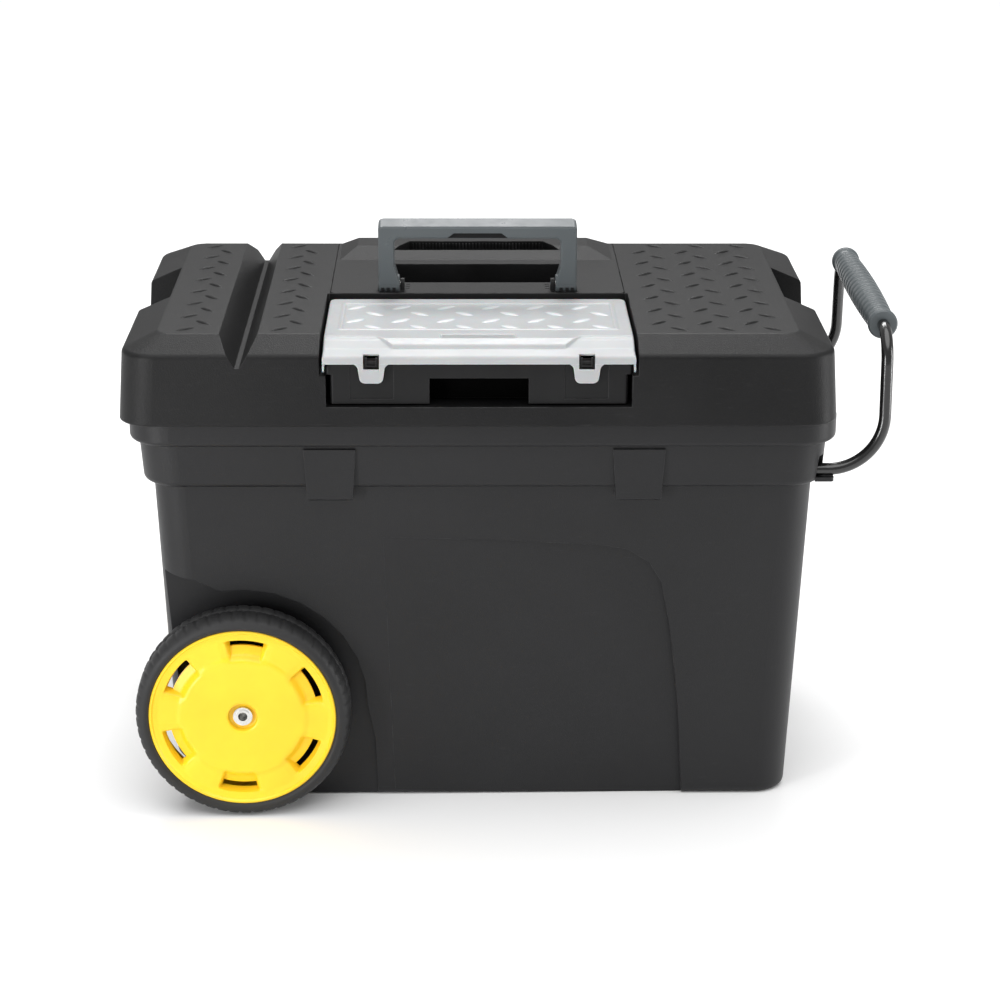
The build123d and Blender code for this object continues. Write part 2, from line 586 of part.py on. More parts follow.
def centre_panel():
    panel = block((-PANEL_HALF, PANEL_HALF), (PANEL_FRONT_Y, PANEL_REAR_Y), (PANEL_SEAT_Z, TOP_Z))
    panel = fillet(panel.edges().filter_by(Axis.Z), 4.0)
    panel += hump()
    panel += block((-PANEL_HALF + 10, PANEL_HALF - 10), (PANEL_FRONT_Y + 10, 142), (399.5, PANEL_SEAT_Z))
    panel += block((-WELL_HALF - 3, WELL_HALF + 3), (7, 142), (WELL_FLOOR_Z - 3, PANEL_SEAT_Z))
    well = block((-WELL_HALF, WELL_HALF), (10, 76), (WELL_FLOOR_Z, TOP_Z + 10))
    well = chamfer(well.edges().filter_by(Axis.Z).sort_by(Axis.Y)[:2], 8.0)
    back = [(-WELL_HALF, 112), (-BACK_POCKET_HALF, 139), (BACK_POCKET_HALF, 139), (WELL_HALF, 112)]
    back_face = make_face(Polyline(*[(x, y, WELL_FLOOR_Z + 8) for x, y in back], close=True))
    panel -= well
    panel -= extrude(back_face, 40, dir=(0, 0, 1))
    for side in (-1, 1):
        track = sorted((side * (HANDLE_HALF - HANDLE_FOOT - 0.4), side * (HANDLE_HALF + 0.6)))
        panel -= block(track, (HANDLE_Y - 9.0, 46.0), (LEG_TRACK_Z, TOP_Z + 5))
        panel += handle_lug(side)
        for y in DECK_SLOT_Y:
            panel -= block(sorted(side * x for x in DECK_SLOT_X), (y - 0.8, y + 0.8), (TOP_Z - 1.2, 411))
    panel -= block((-HANDLE_HALF - 0.6, HANDLE_HALF + 0.6), (20.0, 46.0), (LEG_TRACK_Z, TOP_Z + 5))
    panel -= panel_screw_set(1.6, 3.6)
    return panel


def handle_lug(side):
    """The pivot lug beside each leg of the carry handle, with its pin hole."""
    x_span = sorted((side * (HANDLE_HALF - HANDLE_FOOT - 0.4), side * (HANDLE_HALF - HANDLE_FOOT - 4.2)))
    lug = block(x_span, (HANDLE_Y - 5, HANDLE_Y + 5), (PANEL_SEAT_Z + 0.5, HANDLE_PIVOT_Z))
    lug += rod((x_span[0], HANDLE_Y, HANDLE_PIVOT_Z), (x_span[1], HANDLE_Y, HANDLE_PIVOT_Z), 5.0)
    hole = rod((x_span[0] - 1, HANDLE_Y, HANDLE_PIVOT_Z), (x_span[1] + 1, HANDLE_Y, HANDLE_PIVOT_Z), 2.5)
    return lug - hole


def panel_screw_set(shank, head):
    """Four screws that hold the panel down on the lid's seat."""
    screws = None
    for x in (-SCREW_X, SCREW_X):
        for y in SCREW_Y:
            screw = rod((x, y, 396), (x, y, 402.5), shank) + rod((x, y, 396.5), (x, y, 398.9), head)
            screws = screw if screws is None else screws + screw
    return screws


def carry_handle():
    """An inverted U with a full-width bar, finger relief and rounded feet on the pivots."""
    rear = HANDLE_Y + HANDLE_HALF_DEPTH
    front = HANDLE_Y - HANDLE_HALF_DEPTH
    outline = [(-HANDLE_HALF, HANDLE_PIVOT_Z), (-HANDLE_HALF, HANDLE_TOP_Z), (HANDLE_HALF, HANDLE_TOP_Z),
               (HANDLE_HALF, HANDLE_PIVOT_Z)]
    inner = HANDLE_HALF - HANDLE_LEG
    foot = HANDLE_HALF - HANDLE_FOOT
    outline += [(foot, HANDLE_PIVOT_Z), (foot, 417), (foot + 1.0, 421), (inner, 430), (inner, 454)]
    outline += [(-inner, 454), (-inner, 430), (-foot - 1.0, 421), (-foot, 417), (-foot, HANDLE_PIVOT_Z)]
    body = front_prism(outline, (front, rear))
    body = fillet(body.edges().filter_by(Axis.Y).sort_by(Axis.Z)[-2:], 3.0)
    relief = [(-34, 453), (-27, 459.5), (15, 459.5), (22, 453)]
    body -= front_prism(relief, (front - 1, front + 9.5))
    slope = side_prism([(front - 1, 465.4), (rear + 1, 469.8), (rear + 1, 480), (front - 1, 480)], (-90, 90))
    body -= slope
    for side in (-1, 1):
        body += rod((side * HANDLE_HALF, HANDLE_Y, HANDLE_PIVOT_Z), (side * foot, HANDLE_Y, HANDLE_PIVOT_Z),
                    HANDLE_HALF_DEPTH)
        x_span = sorted((side * (foot - 1), side * (HANDLE_HALF - 3)))
        body -= rod((x_span[0], HANDLE_Y, HANDLE_PIVOT_Z), (x_span[1], HANDLE_Y, HANDLE_PIVOT_Z),
                    2.5 + RUN_FIT)
        for x in (70.5, 75.5, 80.5):
            body -= block((side * x - 1.3, side * x + 1.3), (front - 1, front + 1.2), (409.3, 412.9))
    return body


def handle_pins():
    pins = []
    for side in (-1, 1):
        near = side * (HANDLE_HALF - HANDLE_FOOT - 4.2)
        far = side * (HANDLE_HALF - 3.4)
        pins.append(rod((near, HANDLE_Y, HANDLE_PIVOT_Z), (far, HANDLE_Y, HANDLE_PIVOT_Z), 2.5))
    return pins


# ---- organiser ----------------------------------------------------------------------------
def organiser_tray():
    """The black tray: two rows of compartments, a finger recess in front and hinge posts behind."""
    half = TRAY_HALF
    tub = block((-half, half), (TRAY_FRONT_Y, TRAY_REAR_Y), (TRAY_LOW_Z, TRAY_TOP_Z))
    tub = fillet(tub.edges().filter_by(Axis.Z), 3.0)
    lip = block((-half - 3.5, half + 3.5), (TRAY_FRONT_Y, TRAY_REAR_Y), (POCKET_STEP_Z + 0.2, TRAY_TOP_Z))
    tub += fillet(lip.edges().filter_by(Axis.Z), 3.0)
    recess_y = (TRAY_FRONT_Y - 1, TRAY_FRONT_Y + 16)
    tub -= block((-RECESS_HALF, RECESS_HALF), recess_y, (TRAY_LOW_Z - 1, RECESS_TOP_Z))
    hollow = block((-half + TRAY_WALL, half - TRAY_WALL), (TRAY_FRONT_Y + TRAY_WALL, TRAY_REAR_Y - TRAY_WALL),
                   (TRAY_LOW_Z + TRAY_WALL, TRAY_TOP_Z + 1))
    box_half = RECESS_HALF + TRAY_WALL
    hollow -= block((-box_half, box_half), (recess_y[0], recess_y[1] + TRAY_WALL),
                    (TRAY_LOW_Z - 1, RECESS_TOP_Z + TRAY_WALL))
    tub -= hollow
    wall_y = (MIDDLE_WALL_Y - 1, MIDDLE_WALL_Y + 1)
    tub += block((1 - half, half - 1), wall_y, (TRAY_LOW_Z + 1, TRAY_TOP_Z - 3))
    for side in (-1, 1):
        middle = side * TAB_X
        tub -= block((middle - TAB_BAY_HALF, middle + TAB_BAY_HALF), (TRAY_FRONT_Y - 1, TRAY_FRONT_Y + 1.0),
                     (TRAY_LOW_Z + 4, TRAY_TOP_Z + 1))
        post = block(eye_span(side), (TRAY_REAR_Y - 6, TRAY_REAR_Y), (TRAY_TOP_Z - 3, 396.0))
        tub += post
        tub += cover_eye(side)
        tub += stud(side)
    return tub


def eye_span(side):
    return sorted(side * x for x in EYE_X)


def cover_eye(side):
    """The knuckle on the tray's rear wall that carries the cover's pin."""
    x_span = eye_span(side)
    eye = rod((x_span[0], COVER_PIN_Y, COVER_PIN_Z), (x_span[1], COVER_PIN_Y, COVER_PIN_Z), 2.9)
    eye += block(x_span, (COVER_PIN_Y - 2.9, COVER_PIN_Y + 0.8), (TRAY_TOP_Z - 1, COVER_PIN_Z))
    return eye - rod((x_span[0] - 1, COVER_PIN_Y, COVER_PIN_Z), (x_span[1] + 1, COVER_PIN_Y, COVER_PIN_Z),
                     PIN_RADIUS)


def stud(side):
    """The stud on the tray's front wall that a snap tab's window drops over."""
    middle = side * TAB_X
    nose = side_prism([(TRAY_FRONT_Y + 1.5, 389.3), (-177.6, 389.3), (-178.4, 390.4), (-178.4, 392.6),
                       (TRAY_FRONT_Y + 1.5, 394.0)], (middle - 4.2, middle + 4.2))
    return nose + block((middle - 4.2, middle + 4.2), (TRAY_FRONT_Y + 0.5, TRAY_FRONT_Y + 2.2), (386, 393))


def organiser_dividers():
    """Loose cross walls that drop between the tray's front, middle and rear walls."""
    dividers = []
    z_span = (TRAY_LOW_Z + TRAY_WALL + 0.1, TRAY_TOP_Z - 4)
    for x in (-60.0, 60.0):
        dividers.append(block((x - 0.8, x + 0.8), (TRAY_FRONT_Y + 2.6, MIDDLE_WALL_Y - 1.5), z_span))
    for x in (-60.0, 0.0, 60.0):
        dividers.append(block((x - 0.8, x + 0.8), (MIDDLE_WALL_Y + 1.5, TRAY_REAR_Y - 2.6), z_span))
    return dividers


def cover_profile(top_shift, front_shift):
    """The cover's section from its rear edge, over the platform and down the front bead."""
    return [(COVER_REAR_Y, COVER_TOP_Z - top_shift), (-148.0, COVER_TOP_Z - top_shift),
            (-154.0, 398.6 - top_shift), (COVER_FRONT_Y + front_shift + 3.0, 397.4 - top_shift),
            (COVER_FRONT_Y + front_shift, 395.4 - top_shift)]


def organiser_cover():
    """The see-through cover: raised platform, lower apron, front bead and two snap tabs."""
    low_front = [(COVER_FRONT_Y, 388.7), (COVER_FRONT_Y + 2.2, 388.7)]
    skin = cover_profile(0, 0) + low_front + list(reversed(cover_profile(2.0, 2.2)))
    cover = side_prism(skin, (-COVER_HALF, COVER_HALF))
    for side in (-1, 1):
        edge = sorted((side * COVER_HALF, side * (COVER_HALF - 2.0)))
        wall = [(COVER_REAR_Y, COVER_TOP_Z - 1), (-148, COVER_TOP_Z - 1), (-154, 397.6), (-178.6, 396.2),
                (-178.9, 394.6), (COVER_REAR_Y, 394.6)]
        cover += side_prism(wall, edge)
    cover = fillet(cover.edges().filter_by(Axis.Z).group_by(SortBy.LENGTH)[-1], 1.0)
    for side in (-1, 1):
        middle = side * TAB_X
        cover += snap_tab(side)
        cover -= block((middle - 5.2, middle + 5.2), (COVER_FRONT_Y - 1, COVER_FRONT_Y + 4), (388.2, 397.6))
        cover += cover_knuckle(side)
    return cover


def snap_tab(side):
    """A springy tab below the bead, with the window that catches the stud."""
    middle = side * TAB_X
    tab = front_prism([(middle - 14.5, 390.5), (middle - 10.8, 387.0), (middle - 9.4, 375.3),
                       (middle + 9.4, 375.3), (middle + 10.8, 387.0), (middle + 14.5, 390.5)],
                      (COVER_FRONT_Y, COVER_FRONT_Y + 2.2))
    tab += block((middle - 10.8, middle + 10.8), (COVER_FRONT_Y, COVER_FRONT_Y + 2.2), (386, 396.0))
    return tab


def cover_knuckle(side):
    """The cover's own knuckles, one on each side of the tray's."""
    parts = None
    for near, far in ((92.0, 95.7), (104.3, 108.0)):
        x_span = sorted((side * near, side * far))
        eye = rod((x_span[0], COVER_PIN_Y, COVER_PIN_Z), (x_span[1], COVER_PIN_Y, COVER_PIN_Z), 2.8)
        eye += block(x_span, (COVER_PIN_Y - 2.8, COVER_PIN_Y + 2.8), (COVER_PIN_Z, COVER_TOP_Z - 1.5))
        eye -= rod((x_span[0] - 1, COVER_PIN_Y, COVER_PIN_Z), (x_span[1] + 1, COVER_PIN_Y, COVER_PIN_Z),
                   PIN_RADIUS + RUN_FIT)
        parts = eye if parts is None else parts + eye
    return parts


def cover_pins():
    return [rod((side * 92.2, COVER_PIN_Y, COVER_PIN_Z), (side * 107.8, COVER_PIN_Y, COVER_PIN_Z), PIN_RADIUS)
            for side in (-1, 1)]


# ---- write the nodes ----------------------------------------------------------------------
save("body_shell", body_shell())
save("tote_tray", tote_tray())
save("tote_handle", tote_handle())
save("axle", axle())
save("axle_caps", *axle_caps())
save("axle_bushes", *axle_bushes())
save("axle_washers", *axle_washers())
save("wheel_front_hub", hub(-1))
save("wheel_rear_hub", hub(1))
save("wheel_front_tyre", tyre(-1))
save("wheel_rear_tyre", tyre(1))
save("bail_rod", bail_rod())
save("bail_grip", bail_grip())
save("bail_sockets", *bail_sockets())
save("bail_screws", bail_screw(-1, 1.6), bail_screw(1, 1.6))
save("lid_shell", lid_shell())
save("lid_catches", *lid_catches())
save("lid_hinge_leaves", *lid_hinge_leaves())
save("chest_hinge_knuckles", *chest_hinge_knuckles())
save("hinge_pins", *hinge_pins())
save("centre_panel", centre_panel())
save("panel_screws", panel_screw_set(1.6, 3.6))
save("carry_handle", carry_handle())
save("handle_pins", *handle_pins())
save("organiser_tray", organiser_tray())
save("organiser_dividers", *organiser_dividers())
save("organiser_cover", organiser_cover())
save("cover_pins", *cover_pins())
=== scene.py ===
import json
from math import cos, pi, radians, sin

import bmesh
import bpy
import numpy as np
from mathutils import Matrix, Vector


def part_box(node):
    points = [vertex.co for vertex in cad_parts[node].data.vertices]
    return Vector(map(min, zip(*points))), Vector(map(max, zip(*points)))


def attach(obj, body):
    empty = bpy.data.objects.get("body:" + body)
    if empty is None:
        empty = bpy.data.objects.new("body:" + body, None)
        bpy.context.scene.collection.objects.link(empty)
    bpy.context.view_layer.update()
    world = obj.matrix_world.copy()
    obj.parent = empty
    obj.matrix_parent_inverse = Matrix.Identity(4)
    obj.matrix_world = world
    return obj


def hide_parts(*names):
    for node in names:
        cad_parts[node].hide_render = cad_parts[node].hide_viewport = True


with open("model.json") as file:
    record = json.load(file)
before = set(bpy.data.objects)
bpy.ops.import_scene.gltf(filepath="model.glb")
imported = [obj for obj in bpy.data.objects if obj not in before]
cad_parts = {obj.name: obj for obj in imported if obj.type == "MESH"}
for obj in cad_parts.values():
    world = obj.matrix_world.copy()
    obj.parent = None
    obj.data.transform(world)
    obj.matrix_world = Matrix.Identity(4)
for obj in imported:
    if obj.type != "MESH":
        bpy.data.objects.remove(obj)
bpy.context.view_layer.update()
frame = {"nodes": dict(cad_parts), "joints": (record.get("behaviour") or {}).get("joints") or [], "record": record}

nodes = frame["nodes"]
MM = 0.001


# ---- reading the frame --------------------------------------------------------------------
def joint(name):
    """A joint's entry in the frame."""
    return next(j for j in frame["joints"] if j["name"] == name)


def node_box(name):
    """A CAD node's lowest and highest corners, in millimetres."""
    low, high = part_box(name)
    return Vector(low) / MM, Vector(high) / MM


# ---- materials ----------------------------------------------------------------------------
class Material:
    """A node material with a Principled shader and short calls for the usual nodes."""

    def __init__(self, name, **shader):
        self.data = bpy.data.materials.new(name)
        self.data.use_nodes = True
        self.tree = self.data.node_tree
        self.shader = self.tree.nodes["Principled BSDF"]
        for key, value in shader.items():
            self.shader.inputs[key.replace("_", " ")].default_value = value
        self.place = self.tree.nodes.new("ShaderNodeTexCoord").outputs["Object"]

    def link(self, source, target):
        self.tree.links.new(source, target)

    def node(self, kind, **values):
        made = self.tree.nodes.new(kind)
        for key, value in values.items():
            if hasattr(value, "is_output"):
                self.link(value, made.inputs[key.replace("_", " ")])
            else:
                made.inputs[key.replace("_", " ")].default_value = value
        return made

    def noise(self, scale, detail=3.0, rough=0.55, stretch=None):
        place = self.place
        if stretch:
            mapping = self.node("ShaderNodeMapping", Vector=self.place)
            mapping.inputs["Scale"].default_value = stretch
            place = mapping.outputs["Vector"]
        made = self.node("ShaderNodeTexNoise", Vector=place, Scale=scale, Detail=detail, Roughness=rough)
        return made.outputs["Fac"]

    def cells(self, scale):
        made = self.node("ShaderNodeTexVoronoi", Vector=self.place, Scale=scale)
        return made.outputs["Distance"]

    def span(self, value, low, high, to_low=0.0, to_high=1.0):
        made = self.node("ShaderNodeMapRange", Value=value)
        made.inputs["From Min"].default_value = low
        made.inputs["From Max"].default_value = high
        made.inputs["To Min"].default_value = to_low
        made.inputs["To Max"].default_value = to_high
        return made.outputs["Result"]

    def math(self, kind, first, second):
        made = self.tree.nodes.new("ShaderNodeMath")
        made.operation = kind
        for socket, value in zip(made.inputs, (first, second)):
            if hasattr(value, "is_output"):
                self.link(value, socket)
            else:
                socket.default_value = value
        return made.outputs["Value"]

    def mix(self, share, first, second):
        made = self.tree.nodes.new("ShaderNodeMix")
        made.data_type = "RGBA"
        for key, value in (("Factor", share), ("A", first), ("B", second)):
            sockets = [s for s in made.inputs if s.name == key and s.enabled]
            if hasattr(value, "is_output"):
                self.link(value, sockets[0])
            else:
                sockets[0].default_value = value
        return next(s for s in made.outputs if s.enabled)

    def edges(self, radius):
        """How near the surface is to a convex edge, from a rounded normal."""
        bevel = self.tree.nodes.new("ShaderNodeBevel")
        bevel.samples = 4
        bevel.inputs["Radius"].default_value = radius
        geometry = self.tree.nodes.new("ShaderNodeNewGeometry")
        dot = self.tree.nodes.new("ShaderNodeVectorMath")
        dot.operation = "DOT_PRODUCT"
        self.link(bevel.outputs["Normal"], dot.inputs[0])
        self.link(geometry.outputs["Normal"], dot.inputs[1])
        return self.span(dot.outputs["Value"], 0.995, 0.85), bevel.outputs["Normal"]

    def bump(self, height, strength, distance, normal=None):
        made = self.node("ShaderNodeBump", Height=height, Strength=strength, Distance=distance)
        if normal is not None:
            self.link(normal, made.inputs["Normal"])
        return made.outputs["Normal"]

    def set(self, key, value):
        self.link(value, self.shader.inputs[key])


def grained_plastic(name, dark, light, rough, grain, grain_depth, wear_and_highlight, round_edges, gloss):
    """Moulded plastic: cloudy tone, spark-eroded grain, scuffs, and paler edge patches that are edge wear together
    with a painted edge highlight.
    """
    made = Material(name, Specular_IOR_Level=gloss)
    cloud = made.noise(7.0, 4.0)
    fine = made.noise(1.0 / grain, 2.0, 0.7)
    pits = made.cells(1.25 / grain)
    tone = made.mix(made.span(cloud, 0.35, 0.65), (*dark, 1), (*light, 1))
    speck = made.span(fine, 0.58, 0.78)
    tone = made.mix(made.math("MULTIPLY", speck, 0.35), tone, (*[c * 2.2 for c in light], 1))
    edge, rounded = made.edges(round_edges)
    # paler patches along convex edges: real edge wear, and also a painted highlight on the edges
    edge_wear_and_highlight = made.math("MULTIPLY", edge, made.span(made.noise(60.0, 3.0), 0.42, 0.62))
    tone = made.mix(made.math("MULTIPLY", edge_wear_and_highlight, 0.55), tone, (*wear_and_highlight, 1))
    scuff = made.noise(38.0, 6.0, 0.75, (1.0, 1.0, 9.0))
    scuffed = made.span(scuff, 0.60, 0.72)
    tone = made.mix(made.math("MULTIPLY", scuffed, 0.10), tone, (*wear_and_highlight, 1))
    made.set("Base Color", tone)
    base = made.span(cloud, 0.3, 0.7, rough - 0.05, rough + 0.05)
    made.set("Roughness", made.math("ADD", base, made.math("MULTIPLY", scuffed, 0.07)))
    height = made.math("ADD", fine, made.math("MULTIPLY", pits, 0.8))
    made.set("Normal", made.bump(height, 0.55, grain_depth, rounded))
    return made.data


def smooth_plastic(name, colour, shade, rough, gloss=0.36, highlight_lift=0.05):
    """Satin moulded plastic with a faint orange-peel skin and a painted highlight on its convex edges."""
    made = Material(name, Specular_IOR_Level=gloss)
    cloud = made.noise(12.0, 3.0)
    tone = made.mix(made.span(cloud, 0.3, 0.7), (*colour, 1), (*shade, 1))
    edge, rounded = made.edges(0.0008)
    # a paler colour on every convex edge: a painted edge highlight
    edge_highlight = [min(1.0, c * 1.3 + highlight_lift) for c in colour]
    tone = made.mix(made.math("MULTIPLY", edge, 0.6), tone, (*edge_highlight, 1))
    made.set("Base Color", tone)
    made.set("Roughness", made.span(made.noise(90.0, 4.0), 0.3, 0.7, rough - 0.06, rough + 0.06))
    peel = made.noise(520.0, 2.0)
    made.set("Normal", made.bump(peel, 0.25, 0.00008, rounded))
    return made.data


def yellow_plastic():
    """Yellow hub plastic: satin gloss with a little ground-in dust."""
    made = Material("yellow_plastic")
    cloud = made.noise(16.0, 3.0)
    tone = made.mix(made.span(cloud, 0.3, 0.7), (0.98, 0.66, 0.022, 1), (0.93, 0.58, 0.016, 1))
    dust = made.span(made.noise(140.0, 5.0, 0.7), 0.62, 0.80)
    tone = made.mix(made.math("MULTIPLY", dust, 0.12), tone, (0.62, 0.42, 0.06, 1))
    made.set("Base Color", tone)
    made.set("Roughness", made.span(made.noise(70.0, 4.0), 0.3, 0.7, 0.30, 0.42))
    made.set("Normal", made.bump(made.noise(650.0, 2.0), 0.2, 0.00006))
    made.shader.inputs["Subsurface Weight"].default_value = 0.12
    made.shader.inputs["Subsurface Scale"].default_value = 0.003
    return made.data


def tyre_rubber():
    """Black moulded tyre with dust and a fine rough skin."""
    made = Material("tyre_rubber")
    cloud = made.noise(25.0, 4.0)
    tone = made.mix(made.span(cloud, 0.3, 0.7), (0.007, 0.007, 0.0075, 1), (0.014, 0.014, 0.0145, 1))
    dust = made.span(made.noise(220.0, 5.0, 0.75), 0.58, 0.80)
    tone = made.mix(made.math("MULTIPLY", dust, 0.30), tone, (0.05, 0.049, 0.048, 1))
    made.set("Base Color", tone)
    made.set("Roughness", made.span(cloud, 0.3, 0.7, 0.52, 0.68))
    height = made.math("ADD", made.noise(900.0, 3.0, 0.7), made.math("MULTIPLY", made.noise(160.0, 3.0), 0.6))
    made.set("Normal", made.bump(height, 0.5, 0.00022))
    return made.data


def frosted_plastic(name, milk, clear):
    """Clear polypropylene with a matt moulded skin: milky, a little see-through."""
    made = Material(name, Transmission_Weight=clear, IOR=1.49)
    cloud = made.noise(18.0, 3.0)
    low = (milk, milk * 1.02, milk * 1.04, 1)
    high = (milk * 1.1, milk * 1.12, milk * 1.14, 1)
    tone = made.mix(made.span(cloud, 0.3, 0.7), low, high)
    edge, rounded = made.edges(0.0012)
    # near-white convex edges: a painted edge highlight
    tone = made.mix(made.math("MULTIPLY", edge, 0.7), tone, (0.93, 0.94, 0.95, 1))
    made.set("Base Color", tone)
    made.set("Roughness", made.span(made.noise(200.0, 4.0), 0.3, 0.7, 0.30, 0.42))
    made.set("Normal", made.bump(made.noise(1500.0, 2.0), 0.3, 0.00006, rounded))
    made.shader.inputs["Subsurface Weight"].default_value = 0.25
    made.shader.inputs["Subsurface Scale"].default_value = 0.006
    return made.data


def coated_steel():
    """Black powder-coated rod with a slight orange peel and rubbed spots."""
    made = Material("coated_steel", Coat_Weight=0.5, Coat_Roughness=0.12)
    rub = made.span(made.noise(45.0, 5.0, 0.7), 0.60, 0.75)
    tone = made.mix(made.math("MULTIPLY", rub, 0.3), (0.006, 0.006, 0.006, 1), (0.03, 0.03, 0.031, 1))
    made.set("Base Color", tone)
    made.set("Roughness", made.span(rub, 0.0, 1.0, 0.22, 0.38))
    made.set("Normal", made.bump(made.noise(420.0, 2.0), 0.25, 0.0001))
    return made.data


def plated_steel():
    """Zinc-plated steel, slightly stained."""
    made = Material("plated_steel", Metallic=1.0)
    stain = made.span(made.noise(120.0, 5.0, 0.7), 0.4, 0.7)
    made.set("Base Color", made.mix(stain, (0.74, 0.74, 0.72, 1), (0.56, 0.55, 0.52, 1)))
    made.set("Roughness", made.span(stain, 0.0, 1.0, 0.22, 0.40))
    made.set("Normal", made.bump(made.noise(800.0, 3.0), 0.2, 0.00005))
    return made.data


MATERIALS = {
    "body_plastic": grained_plastic(
        "body_plastic", (0.007, 0.007, 0.0078), (0.010, 0.010, 0.011), rough=0.44, grain=0.0009,
        grain_depth=0.00010, wear_and_highlight=(0.06, 0.06, 0.063), round_edges=0.0009, gloss=0.33),
    "lid_plastic": grained_plastic(
        "lid_plastic", (0.005, 0.005, 0.0053), (0.009, 0.009, 0.0093), rough=0.46, grain=0.0012,
        grain_depth=0.00026, wear_and_highlight=(0.10, 0.10, 0.102), round_edges=0.0013, gloss=0.22),
    "black_plastic": smooth_plastic(
        "black_plastic", (0.006, 0.006, 0.0063), (0.009, 0.009, 0.0094), rough=0.42, gloss=0.22),
    "grey_plastic": smooth_plastic(
        "grey_plastic", (0.097, 0.110, 0.116), (0.082, 0.094, 0.100), rough=0.32),
    "frosted_cover": frosted_plastic("frosted_plastic", 0.50, 0.24),
    "yellow_plastic": yellow_plastic(),
    "tyre_rubber": tyre_rubber(),
    "bail_steel": coated_steel(),
    "zinc_steel": plated_steel(),
}
MARK_MATERIAL = frosted_plastic("frosted_marks", 0.58, 0.12)
BAR_MATERIAL = frosted_plastic("frosted_bar", 0.30, 0.05)
# near-black plastic for the plates on the finger recess's and the notch's rear walls: painted shade
SHADE_MATERIAL = smooth_plastic(
    "painted_shade_black", (0.0006, 0.0006, 0.0006), (0.001, 0.001, 0.001), rough=0.7, gloss=0.02, highlight_lift=0.0)


def paint(obj, slot):
    """Gives a piece or a CAD node the material of a record slot."""
    obj.data.materials.clear()
    obj.data.materials.append(MATERIALS[slot])


# ---- mesh helpers -------------------------------------------------------------------------
def piece(name, verts, faces, body, slot, replaced=(), sharp=38.0):
    """A mesh piece in millimetres, shaded smooth with its sharp edges kept."""
    mesh = bpy.data.meshes.new(name)
    mesh.from_pydata([Vector(v) * MM for v in verts], [], faces)
    bm = bmesh.new()
    bm.from_mesh(mesh)
    bmesh.ops.remove_doubles(bm, verts=bm.verts, dist=1e-6)
    bmesh.ops.recalc_face_normals(bm, faces=bm.faces)
    bm.to_mesh(mesh)
    bm.free()
    obj = bpy.data.objects.new(name, mesh)
    bpy.context.scene.collection.objects.link(obj)
    smooth(obj, sharp)
    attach(obj, body)
    paint(obj, slot)
    if replaced:
        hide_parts(*replaced)
    return obj


def smooth(obj, sharp):
    """Shades a mesh smooth and marks the edges sharper than an angle in degrees."""
    mesh = obj.data
    bm = bmesh.new()
    bm.from_mesh(mesh)
    for face in bm.faces:
        face.smooth = True
    for edge in bm.edges:
        edge.smooth = len(edge.link_faces) == 2 and edge.calc_face_angle(0.0) < radians(sharp)
    bm.to_mesh(mesh)
    bm.free()


def apply_modifiers(obj):
    """Bakes an object's modifiers into its mesh."""
    graph = bpy.context.evaluated_depsgraph_get()
    mesh = bpy.data.meshes.new_from_object(obj.evaluated_get(graph))
    obj.modifiers.clear()
    obj.data = mesh


def sheet_faces(rows, columns, wrap_rows=False, wrap_columns=False, keep=None):
    """Quads over a grid of vertices; keep(row, column) leaves faces out."""
    faces = []
    for i in range(rows if wrap_rows else rows - 1):
        for j in range(columns if wrap_columns else columns - 1):
            if keep is None or keep(i, j):
                a, b = i % rows, (i + 1) % rows
                c, d = j % columns, (j + 1) % columns
                faces.append((a * columns + c, a * columns + d, b * columns + d, b * columns + c))
    return faces


def ease(value, low, high):
    """0 below low, 1 above high, smooth between."""
    share = np.clip((value - low) / (high - low), 0, 1)
    return share * share * (3 - 2 * share)


def lens(centre, length, width, height, turn, rings=5, spokes=20):
    """A raised pointed lens on a level surface: the vertices and faces of one tread mark."""
    verts, faces = [], []
    for ring in range(rings + 1):
        share = ring / rings
        lift = height * max(0.0, 1.0 - share ** 2.6)
        for spoke in range(spokes):
            angle = 2 * pi * spoke / spokes
            pointed = abs(cos(angle)) ** 1.3
            x = share * length / 2 * np.sign(cos(angle)) * pointed
            y = share * width / 2 * sin(angle)
            verts.append((centre[0] + x * cos(turn) - y * sin(turn),
                          centre[1] + x * sin(turn) + y * cos(turn), centre[2] + lift))
    for ring in range(rings):
        for spoke in range(spokes):
            nxt = (spoke + 1) % spokes
            a, b = ring * spokes, (ring + 1) * spokes
            faces.append((a + spoke, a + nxt, b + nxt, b + spoke))
    return verts, faces


def gather(parts):
    """Several vertex and face lists as one."""
    verts, faces = [], []
    for part_verts, part_faces in parts:
        base = len(verts)
        verts += part_verts
        faces += [tuple(base + index for index in face) for face in part_faces]
    return verts, faces


# ---- wheels -------------------------------------------------------------------------------
WHEEL = Vector(joint("wheel_front_spin")["pos_m"]) / MM
TYRE_LOW, TYRE_HIGH = node_box("wheel_rear_tyre")
TYRE_RADIUS = (TYRE_HIGH.z - TYRE_LOW.z) / 2
TYRE_FACE = TYRE_HIGH.y
TYRE_BACK = TYRE_LOW.y
HUB_LOW, HUB_HIGH = node_box("wheel_rear_hub")
HUB_RADIUS = (HUB_HIGH.z - HUB_LOW.z) / 2
HUB_FACE = HUB_HIGH.y - 2.0
SLOT_HALF = 12.5         # degrees
SLOT_FIRST = 26.0        # degrees
SLOT_IN, SLOT_OUT = 61.5, 66.5
RIM_RADIUS = 75.2        # where the hub meets the tyre
TREAD_BLOCKS = 54
BLOCK_STEPS = 8
GROOVE_DEPTH = 0.8


def wheel_point(radius, angle, y, side):
    """A place on a wheel: side is -1 for the front wheel and 1 for the rear one."""
    turn = radians(angle)
    return (WHEEL.x + radius * cos(turn), side * y, WHEEL.z + radius * sin(turn))


